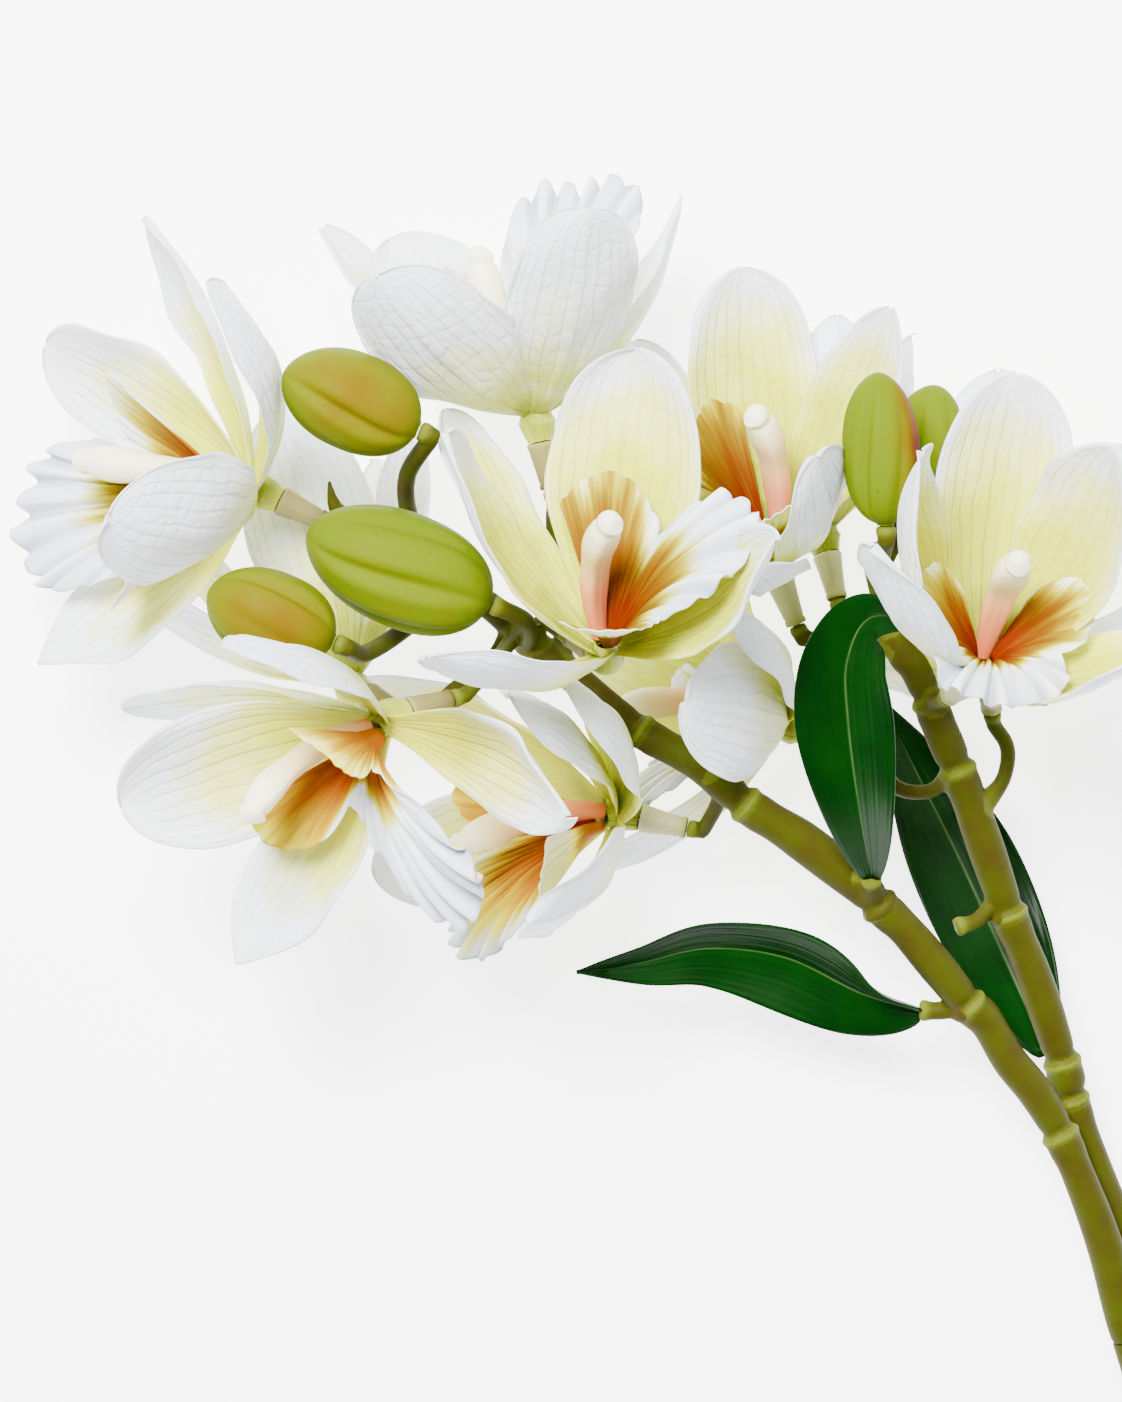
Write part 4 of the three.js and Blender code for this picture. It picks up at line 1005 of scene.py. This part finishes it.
def column(of, bloom):
    """The arched column, round above and hollowed beneath, with its anther cap."""
    first, final = bloom.get("lean", COLUMN["lean"])
    yaw = math.radians(bloom.get("yaw", 0))
    of = {**of, "front": of["front"] * math.cos(yaw) + of["side"] * math.sin(yaw)}
    steps, cap = COLUMN["steps"], COLUMN["cap"]
    y, z = [COLUMN["offset"]], [COLUMN["foot"]]
    for i in range(steps):
        lean = math.radians(first + (final - first) * (i + 0.5) / steps)
        y.append(y[-1] + COLUMN["length"] / steps * math.sin(lean))
        z.append(z[-1] + COLUMN["length"] / steps * math.cos(lean))
    knots = smooth_path([(i, r, 0) for i, r in enumerate(COLUMN["radii"])], 12)
    radii = np.interp(np.linspace(0, knots[-1, 0], steps + 1), knots[:, 0], knots[:, 1])
    lean = math.radians(final)
    for k in np.linspace(0.1, 1, 9):
        y.append(y[steps] + cap * k * math.sin(lean) - 0.9 * k**2)
        z.append(z[steps] + cap * k * math.cos(lean))
        radii = np.append(radii, COLUMN["radii"][-1] * math.sqrt(max(1 - k**2, 0.0004)))
    centres = in_bloom(of, 0 * np.array(y), y, z)
    share = np.linspace(0, 1, len(centres))
    to_lip = [math.atan2(-of["up"] @ across, -of["up"] @ down) for down, across in carried_frames(centres)]

    def section(angles, i):
        beneath = np.cos(angles - to_lip[i])
        hollow = math.sin(math.pi * min(share[i] * 1.15, 1)) ** 0.6
        groove = COLUMN["groove"] * bell(beneath, 1, 0.28) * hollow
        wings = COLUMN["wings"] * bell(beneath, 0.45, 0.25) * share[i]
        neck = COLUMN["neck"] * bell(share[i], 0.84, 0.02)
        beak = COLUMN["beak"] * np.exp((beneath - 1) / 0.3) * bell(share[i], 0.93, 0.05)
        return 1 - groove + wings - neck + beak

    points, faces, uv = skin(turned_rings(centres, radii, 36, section))
    uv[:, 1] = 1 - (1 - uv[:, 1]) * bloom.get("tint", 1.0)
    return points, faces, uv


def sleeve(bloom):
    """The short cup between a bloom and its stalk, with rolled ends."""
    direction = unit(bloom["stalk"])
    start = np.asarray(bloom["at"], float) + direction * (RECEPTACLE["back"] + GAP)
    centres = np.array([start + direction * h for h, _ in SLEEVE["profile"]])
    radii = [SLEEVE["mouth"] * share for _, share in SLEEVE["profile"]]
    return skin(turned_rings(centres, radii, 32, lambda angles, i: 1 + SLEEVE["lobes"] * np.cos(6 * angles)))


# ----------------------------------------------------------------- shapes of buds, leaves


def bud(spec):
    """A closed bud: three sepals that meet along seams, turned a little round its axis."""
    start = np.asarray(spec["foot"], float)
    axis = np.asarray(spec["tip"], float) - start
    s = 0.5 - 0.5 * np.cos(np.pi * np.linspace(0, 1, 49))
    belly = spec["diameter"] / 2 * (1 - np.abs(1 - 2 * s**0.9) ** 2.3).clip(0) ** 0.56
    radii = np.maximum(np.where(s < 0.2, BUD["foot"] * (1 - 0.5 * s), 0.05), belly)

    def section(angles, i):
        sepal = (angles * 3 / (2 * np.pi)) % 1.0
        gap = np.minimum(sepal, 1 - sepal) * 2 * np.pi / 3
        rib = np.abs(sepal - 0.5) * 2 * np.pi / 3
        seam = BUD["seam"] * bell(gap, 0, 0.13) - 0.03 * bell(gap, 0.3, 0.16)
        line = BUD["rib"] * bell(rib, 0, 0.11) - 0.02 * bell(rib, 0.35, 0.14)
        shown = math.sin(math.pi * min(max(s[i], 0.01), 0.99)) ** 0.5
        return 1 - (seam + line * spec["ribs"]) * shown + 0.02 * np.cos(angles + 1) * shown

    turns = math.radians(spec["set"]) + math.radians(spec["twist"]) * (2 * s - 1)
    points, faces, uv = skin(turned_rings(start + s[:, None] * axis, radii, 72, section, turns))
    run = unit(axis)
    along = (points - start) @ run
    offset = points - (start + along[:, None] * run)
    offset /= np.maximum(np.linalg.norm(offset, axis=1), 0.3)[:, None]
    share = (along / np.linalg.norm(axis)).clip(0, 1)
    facing = (0.5 + 0.5 * (offset @ square_to(run, spec["lit"]))).clip(0, 1)
    blush = spec["blush"] * facing ** spec["focus"] * np.sin(np.pi * share**0.8) ** 0.4
    return points, faces, uv, blush


def leaf(spec):
    """A strap leaf folded along its midrib, with a slightly waved edge."""
    per_span = 24
    first, second = np.asarray(spec["midrib"][:2], float)
    path = smooth_path([tuple(first - unit(second - first) * LEAF["sunk"]), *spec["midrib"][1:]], per_span)
    s = np.linspace(0, 1, 91)
    at = s * (len(spec["midrib"]) - 1) * per_span
    centres = np.stack([np.interp(at, np.arange(len(path)), path[:, k]) for k in range(3)], 1)
    tangents = headings(centres)
    facing = unit(spec["face"])
    up = facing - tangents * (tangents @ facing)[:, None]
    up /= np.linalg.norm(up, axis=1)[:, None]
    turn = np.radians(np.interp(s, (0, 1), spec["twist"]))[:, None]
    up = up * np.cos(turn) + np.cross(tangents, up) * np.sin(turn)
    across = np.cross(tangents, up)
    bulge = np.sin(np.pi * s ** spec["shape"]).clip(0) ** 0.9
    half = spec["width"] / 2 * np.maximum(LEAF["tip"], spec["root"] * (1 - s) + (1 - spec["root"]) * bulge)
    s, half = s[:, None], half[:, None]
    t = np.linspace(-1, 1, 31)[None]
    rise = half * np.abs(t) ** 1.4 * math.tan(math.radians(spec["fold"]))
    slow, quick = LEAF["waves"]
    wave = (slow * np.sin(8 * s + 1.2 * t) + quick * np.sin(17 * s - t)) * t**2 * np.clip(half / 8, 0, 1)
    height = rise + wave - LEAF["midrib"] * bell(t, 0, 0.06) + LEAF["veins"] * np.cos(2 * np.pi * 5 * t)
    grid = centres[:, None] + (half * t)[..., None] * across[:, None] + height[..., None] * up[:, None]
    thin, extra = LEAF["thickness"]
    thick = thin + extra * (1 - np.abs(t) ** 4) + 0 * s
    return blade(grid, up[len(up) // 2], thick, LEAF["keel"] * bell(t, 0, 0.07) + 0 * s)


# --------------------------------------------------------------------- canes and stalks


def cane_run(path, radii, nodes=()):
    """Centres and radii along a cane, with a ring at each of its nodes, and how near a ring each point is."""
    per_span = 16
    centres = smooth_path(path, per_span)
    size = np.interp(np.arange(len(centres)) / per_span, np.arange(len(radii)), radii)
    length = run_length(centres)
    ring = np.zeros(len(centres))
    at_nodes = [length[node * per_span] for node in nodes]
    ends = [0.0, *at_nodes, length[-1]] if nodes else []
    for a, b in zip(ends[:-1], ends[1:]):
        share = np.clip((length - a) / max(b - a, 1e-6), 0, 1)
        size = size + CANE["belly"] * np.sin(np.pi * share**0.8) ** 2
    for at in at_nodes:
        d = length - at
        size = size + CANE["ring"] * bell(d, 0, 1.0) + CANE["rise"] * bell(d, -3.5, 3.5)
        size = size - CANE["dip"] * bell(d, 2.2, 0.9)
        ring = np.maximum(ring, 0.8 * bell(d, 0, 1.25))
    return centres, size, ring


def stalk_run(path, end, away, straight, radius, collar):
    """The same along a stalk that ends square, after a straight stretch, with a collar near its end."""
    before = end + straight * away
    last = np.linspace(0, 1, 8)[1:, None]
    centres = np.vstack([smooth_path([*path, tuple(before)], 12), before + last * (end - before)])
    length = run_length(centres)
    d = length[-1] - length
    size = radius + 0.9 * bell(length, 0, 4.5) + collar * bell(d, 1.2, 1.1)
    return centres, size, 0.8 * bell(d, 1.2, 1.3) + 0.4 * bell(length, 0, 5)


def bloom_stalk(path, name):
    """A flower stalk, up to its bloom's sleeve."""
    away = unit(BLOOMS[name]["stalk"])
    end = np.asarray(BLOOMS[name]["at"], float) + away * (RECEPTACLE["back"] + SLEEVE["length"] + 2 * GAP)
    return stalk_run(path, end, away, straight=4, radius=STALK_RADIUS, collar=0.5)


def bud_stalk(path, index):
    """A bud's stalk, up to the bud's foot."""
    spec = BUDS[index]
    away = unit(np.subtract(spec["foot"], spec["tip"]))
    end = np.asarray(spec["foot"], float) + away * GAP
    return stalk_run(path, end, away, straight=3.5, radius=BUD["foot"] + 0.1, collar=0.35)


def stub_run(path, radius):
    """A short stub, swollen near its end."""
    centres = smooth_path(path, 14)
    share = np.linspace(0, 1, len(centres))
    return centres, radius + 0.5 * bell(share, 0.9, 0.09), 0.8 * bell(share, 0.9, 0.12)


def bract_run():
    """The small pointed bract near the front cane's end."""
    centres = smooth_path(BRACT, 6)
    return centres, np.linspace(*BRACT_RADII, len(centres)), np.zeros(len(centres))


def cane_tree():
    """Geometry nodes that sweep a round section along each path, as thick as its girth, with closed ends."""
    tree = bpy.data.node_groups.new("Cane along its path", "GeometryNodeTree")
    face = tree.interface
    sockets = {"Geometry": "Geometry", "Sides": "Int", "Thickness": "Float", "Finish": "Material"}
    for name, kind in sockets.items():
        face.new_socket(name, in_out="INPUT", socket_type="NodeSocket" + kind)
    face.new_socket("Geometry", in_out="OUTPUT", socket_type="NodeSocketGeometry")
    given = add_node(tree, "NodeGroupInput").outputs
    paths = add_node(tree, "GeometryNodeMeshToCurve", {0: given["Geometry"]})
    girth = add_node(tree, "GeometryNodeInputNamedAttribute", {"Name": "girth"}, data_type="FLOAT")
    section = add_node(
        tree, "GeometryNodeCurvePrimitiveCircle", {"Resolution": given["Sides"], "Radius": given["Thickness"]}
    )
    swept = add_node(
        tree, "GeometryNodeCurveToMesh",
        {"Curve": paths, "Profile Curve": section, "Scale": girth, "Fill Caps": True},
    )
    real = add_node(tree, "GeometryNodeRealizeInstances", {0: swept})
    painted = add_node(tree, "GeometryNodeSetMaterial", {"Geometry": real, "Material": given["Finish"]})
    add_node(tree, "NodeGroupOutput", {0: painted})
    return tree


def made_plain(thing, name):
    """What an object's modifiers make of it, as a plain mesh object that takes its place."""
    graph = bpy.context.evaluated_depsgraph_get()
    mesh = bpy.data.meshes.new_from_object(thing.evaluated_get(graph))
    bpy.data.objects.remove(thing)
    mesh.name = name
    return show(name, mesh)


def set_input(modifier, name, value):
    """Sets a geometry nodes input by its socket's identifier."""
    for item in modifier.node_group.interface.items_tree:
        if item.item_type == "SOCKET" and item.in_out == "INPUT" and item.name == name:
            modifier[item.identifier] = value
            return
    raise RuntimeError("the tree has no input " + name)


def build_cane(name, runs, shape, material):
    """One cane with all that grows on it: swept along its paths, then grown together."""
    centres, girth, ring = (np.concatenate([run[k] for run in runs]) for k in range(3))
    starts = np.cumsum([0] + [len(run[0]) for run in runs]).tolist()
    edges = [(i, i + 1) for a, b in zip(starts[:-1], starts[1:]) for i in range(a, b - 1)]
    mesh = bpy.data.meshes.new(name + "_paths")
    mesh.from_pydata(metres(centres).tolist(), edges, [])
    add_field(mesh, "girth", girth / 1000)
    paths = show(name + "_paths", mesh)
    sweep = paths.modifiers.new("Sweep", "NODES")
    sweep.node_group = bpy.data.node_groups.get("Cane along its path") or cane_tree()
    for key, value in (("Sides", CANE["sides"]), ("Thickness", 1.0), ("Finish", material)):
        set_input(sweep, key, value)
    swept = made_plain(paths, name + "_swept")
    grown = swept.modifiers.new("Grow together", "REMESH")
    grown.mode = "VOXEL"
    grown.voxel_size = shape.cane_grain
    fair = swept.modifiers.new("Fair", "SMOOTH")
    fair.factor = 0.5
    fair.iterations = 4
    cane = made_plain(swept, name)
    cane.data.materials.clear()
    cane.data.materials.append(material)
    tree = kdtree.KDTree(len(centres))
    for i, centre in enumerate(metres(centres)):
        tree.insert(centre, i)
    tree.balance()
    add_field(cane.data, "ring", [ring[tree.find(vertex.co)[1]] for vertex in cane.data.vertices])
    for vertex in cane.data.vertices:
        vertex.co.z = max(vertex.co.z, LOWEST / 1000)
    cane.data.polygons.foreach_set("use_smooth", np.ones(len(cane.data.polygons), bool))
    return cane


# ------------------------------------------------------------------------------ settings


def count_of(name, description, default, least, most):
    """A setting that is a whole number."""
    return bpy.props.IntProperty(name=name, description=description, default=default, min=least, max=most)


def length_of(name, description, default, least, most):
    """A setting that is a small length in metres."""
    return bpy.props.FloatProperty(
        name=name, description=description, default=default, min=least, max=most,
        unit="LENGTH", subtype="DISTANCE", precision=5,
    )


def colour_of(name, description, code):
    """A setting that is a colour, from its sRGB hex value."""
    return bpy.props.FloatVectorProperty(
        name=name, description=description, default=linear(code), size=4, min=0, max=1, subtype="COLOR"
    )


class OrchidShape(bpy.types.PropertyGroup):
    """Sizes of the orchid's fine shape."""

    tepal_rows: count_of("Petal rows", "Rows of the mesh along each petal", 44, 16, 120)
    tepal_columns: count_of("Petal columns", "Columns of the mesh across each petal", 31, 12, 90)
    lip_rows: count_of("Lip rows", "Rows of the mesh from a lip's throat to its rim", 38, 16, 90)
    lip_columns: count_of("Lip columns", "Columns of the mesh round a lip", 271, 60, 400)
    scallops: count_of("Scallops", "Scallops of a lip's rim if it ran all the way round", 34, 6, 60)
    vein_depth: length_of("Vein depth", "Depth of the broad veins of a petal", 0.00017, 0, 0.002)
    ruffle: length_of("Ruffle", "Half height of the ruffles on a lip's rim", 0.0011, 0, 0.006)
    pleat: length_of("Pleat", "Half height of the fine pleats of a lip", 0.0006, 0, 0.002)
    cane_grain: length_of("Cane mesh", "Edge length of the canes' mesh", 0.00065, 0.0003, 0.002)
    quilt: bpy.props.FloatProperty(
        name="Quilting", description="Share of the cross folds in a petal's embossing", default=0.4,
        min=0, max=2, subtype="FACTOR",
    )


class OrchidColours(bpy.types.PropertyGroup):
    """Colours of the orchid."""

    petal: colour_of("Petal", "Outer face of the petals", "#E6EBF4")
    heart: colour_of("Heart", "Inner face of the petals near their root", "#C2C634")
    throat: colour_of("Throat", "Deepest colour of the lips", "#702000")
    cane: colour_of("Cane", "Main colour of the canes", "#3C4208")
    bud: colour_of("Bud", "Main colour of the buds", "#566800")
    leaf: colour_of("Leaf", "Main colour of the leaves", "#001E00")


# ----------------------------------------------------------------------------- operators


class ORCHID_OT_stems(bpy.types.Operator):
    """Builds the main stem and its two branches with all their stalks"""

    bl_idname = "orchid.stems"
    bl_label = "Canes and stalks"

    def execute(self, context):
        shape, colours = context.scene.orchid_shape, context.scene.orchid_colours
        material = cane_material(colours)
        canes = {
            "main_stem": [
                cane_run(MAIN_PATH, MAIN_RADII),
                cane_run(ARM_FRONT, ARM_RADII),
                cane_run(ARM_BACK, ARM_RADII),
            ],
            "branch_front": [
                cane_run(FRONT_PATH, FRONT_RADII, FRONT_NODES),
                *(bloom_stalk(path, name) for name, path in FRONT_STALKS.items()),
                *(bud_stalk(path, index) for index, path in FRONT_BUD_STALKS.items()),
                *(stub_run(path, LEAF_JOINT_RADIUS) for path in LEAF_JOINTS),
                bract_run(),
            ],
            "branch_back": [
                cane_run(BACK_PATH, BACK_RADII, BACK_NODES),
                *(bloom_stalk(path, name) for name, path in BACK_STALKS.items()),
                *(bud_stalk(path, index) for index, path in BACK_BUD_STALKS.items()),
                stub_run(STUB, STUB_RADIUS),
            ],
        }
        for name, runs in canes.items():
            finish_piece(build_cane("cane_" + name, runs, shape, material), "stem", name)
        return {"FINISHED"}


class ORCHID_OT_tepals(bpy.types.Operator):
    """Builds the sepals and petals of every bloom"""

    bl_idname = "orchid.tepals"
    bl_label = "Sepals and petals"

    def execute(self, context):
        shape, colours = context.scene.orchid_shape, context.scene.orchid_colours
        heart, petal = tuple(colours.heart), tuple(colours.petal)
        # The groove colours are painted shade, drawn into the grooves of each face.
        inner = petal_material(
            "Latex petal, inner face",
            {0.0: "#808C00", 0.17: heart, 0.4: "#CED230", 0.64: "#E2E68E", 0.84: petal},
            groove="#A8AC40", quilt=shape.quilt * 0.6, vein=0.7, fading=1.0,
        )
        outer = petal_material(
            "Latex petal, outer face",
            {0.0: "#909800", 0.14: "#C4CA40", 0.32: "#E2E8B0", 0.55: petal},
            groove="#8E9AB0", quilt=shape.quilt, vein=0.7, fading=0.15,
        )
        for name, bloom in BLOOMS.items():
            of = bloom_frame(bloom)
            parts = [
                tepal(of, kind, bloom["tepals"][kind], shape, 100 * ord(name) + k)
                for k, kind in enumerate(AZIMUTH)
            ]
            points, faces, uv, kind = join([*parts, receptacle(bloom, of)])
            paler = {"paler": np.full(len(points), bloom.get("paler", 0.0))}
            thing = make_object("petals_" + name, points, faces, uv, (inner, outer), kind, paler)
            finish_piece(thing, "tepal", "bloom_" + name + "_tepals")
        return {"FINISHED"}


class ORCHID_OT_lips(bpy.types.Operator):
    """Builds the ruffled lip of every bloom"""

    bl_idname = "orchid.lips"
    bl_label = "Lips"

    def execute(self, context):
        shape, colours = context.scene.orchid_shape, context.scene.orchid_colours
        stops = {
            0.0: tuple(colours.throat), 0.12: "#783600", 0.25: "#7E4800", 0.37: "#845800", 0.48: "#907000",
            0.57: "#A89000", 0.66: "#BEB42C", 0.76: "#E0DC94", 0.88: "#ECEFF3",
        }
        inner = lip_material("Painted latex lip, inner face", stops, streak=0.55)
        stops = {0.0: "#803C00", 0.22: "#885400", 0.38: "#A08200", 0.56: "#DCD270", 0.75: "#F5F4EC"}
        outer = lip_material("Painted latex lip, outer face", stops, streak=0.3)
        for name, bloom in BLOOMS.items():
            points, faces, uv, kind, fields = lip(
                bloom_frame(bloom), bloom["lip"], shape, ord(name), name in IN_VIEW
            )
            thing = make_object("lip_" + name, points, faces, uv, (inner, outer), kind, fields)
            finish_piece(thing, "lip", "bloom_" + name + "_lip")
        return {"FINISHED"}


class ORCHID_OT_columns(bpy.types.Operator):
    """Builds the column of every bloom"""

    bl_idname = "orchid.columns"
    bl_label = "Columns"

    def execute(self, context):
        material = column_material()
        for name, bloom in BLOOMS.items():
            points, faces, uv = column(bloom_frame(bloom), bloom)
            thing = make_object("column_" + name, points, faces, uv, (material,))
            finish_piece(thing, "column", "bloom_" + name + "_column")
        return {"FINISHED"}


class ORCHID_OT_sleeves(bpy.types.Operator):
    """Builds the sleeve behind every bloom"""

    bl_idname = "orchid.sleeves"
    bl_label = "Sleeves"

    def execute(self, context):
        finish = {
            "olive": sleeve_material("Moulded sleeve, olive brown", "#8A824E", "#4C4210"),
            "cream": sleeve_material("Moulded sleeve, cream", "#D4D2A4", "#8C8C44"),
        }
        for name, bloom in BLOOMS.items():
            points, faces, uv = sleeve(bloom)
            thing = make_object("sleeve_" + name, points, faces, uv, (finish[bloom["sleeve"]],))
            finish_piece(thing, "sleeve", "bloom_" + name + "_sleeve")
        return {"FINISHED"}


class ORCHID_OT_buds(bpy.types.Operator):
    """Builds the closed buds"""

    bl_idname = "orchid.buds"
    bl_label = "Buds"

    def execute(self, context):
        material = bud_material(context.scene.orchid_colours)
        for number, spec in enumerate(BUDS, 1):
            points, faces, uv, blush = bud(spec)
            fields = {"blush": blush}
            thing = make_object("closed_bud_" + str(number), points, faces, uv, (material,), fields=fields)
            finish_piece(thing, "bud", "bud_" + str(number))
        return {"FINISHED"}


class ORCHID_OT_leaves(bpy.types.Operator):
    """Builds the strap leaves"""

    bl_idname = "orchid.leaves"
    bl_label = "Leaves"

    def execute(self, context):
        material = leaf_material(context.scene.orchid_colours)
        for number, spec in enumerate(LEAVES, 1):
            points, faces, uv, _ = leaf(spec)
            thing = make_object("strap_leaf_" + str(number), points, faces, uv, (material,))
            finish_piece(thing, "leaf", "leaf_" + str(number))
        return {"FINISHED"}


class ORCHID_OT_stage(bpy.types.Operator):
    """Lays the floor, hangs the soft lights and sets the camera"""

    bl_idname = "orchid.stage"
    bl_label = "Stage"

    def execute(self, context):
        scene = context.scene
        middle = Vector(metres((0, 0, 0)))
        mesh = bpy.data.meshes.new("paper_floor")
        corners = [(x * FLOOR_REACH, y * FLOOR_REACH, 0.0) for x, y in ((-1, -1), (1, -1), (1, 1), (-1, 1))]
        mesh.from_pydata(corners, [], [(0, 1, 2, 3)])
        mesh.materials.append(floor_material())
        show("paper_floor", mesh)
        for name, place, size, power in LIGHTS:
            lamp = bpy.data.lights.new(name, "AREA")
            lamp.shape = "DISK"
            lamp.size = size
            lamp.energy = power
            light = show(name, lamp)
            light.location = middle + Vector(place)
            light.rotation_euler = (-Vector(place)).to_track_quat("-Z", "Y").to_euler()
        world = bpy.data.worlds.new("Studio air")
        world.use_nodes = True
        world.node_tree.nodes["Background"].inputs[0].default_value = linear("#F4F7FF")
        world.node_tree.nodes["Background"].inputs[1].default_value = 0.4
        scene.world = world
        view = bpy.data.cameras.new("camera_above")
        view.sensor_fit = "VERTICAL"
        view.sensor_height = SENSOR
        view.lens = SENSOR * CAMERA_REACH / FRAME_HEIGHT
        view.clip_end = 20
        camera = show("camera_above", view)
        camera.location = metres((0, 0, CAMERA_HEIGHT))
        scene.camera = camera
        return {"FINISHED"}


class ORCHID_PT_panel(bpy.types.Panel):
    """Lists the orchid's settings and pieces in the sidebar"""

    bl_idname = "ORCHID_PT_panel"
    bl_label = "Cymbidium orchid stem"
    bl_space_type = "VIEW_3D"
    bl_region_type = "UI"
    bl_category = "Orchid"

    def draw(self, context):
        layout = self.layout
        for group in (context.scene.orchid_shape, context.scene.orchid_colours):
            for key in group.bl_rna.properties.keys():
                if key not in ("rna_type", "name"):
                    layout.prop(group, key)
        for operator in OPERATORS:
            layout.operator(operator.bl_idname)


OPERATORS = (
    ORCHID_OT_stems, ORCHID_OT_tepals, ORCHID_OT_lips, ORCHID_OT_columns, ORCHID_OT_sleeves, ORCHID_OT_buds,
    ORCHID_OT_leaves, ORCHID_OT_stage,
)
CLASSES = (OrchidShape, OrchidColours, *OPERATORS, ORCHID_PT_panel)


def register():
    for item in CLASSES:
        bpy.utils.register_class(item)
    bpy.types.Scene.orchid_shape = bpy.props.PointerProperty(type=OrchidShape)
    bpy.types.Scene.orchid_colours = bpy.props.PointerProperty(type=OrchidColours)


def unregister():
    del bpy.types.Scene.orchid_colours
    del bpy.types.Scene.orchid_shape
    for item in reversed(CLASSES):
        bpy.utils.unregister_class(item)


def main():
    register()
    bpy.ops.orchid.stems()
    bpy.ops.orchid.tepals()
    bpy.ops.orchid.lips()
    bpy.ops.orchid.columns()
    bpy.ops.orchid.sleeves()
    bpy.ops.orchid.buds()
    bpy.ops.orchid.leaves()
    bpy.ops.orchid.stage()


if __name__ == "__main__":
    main()
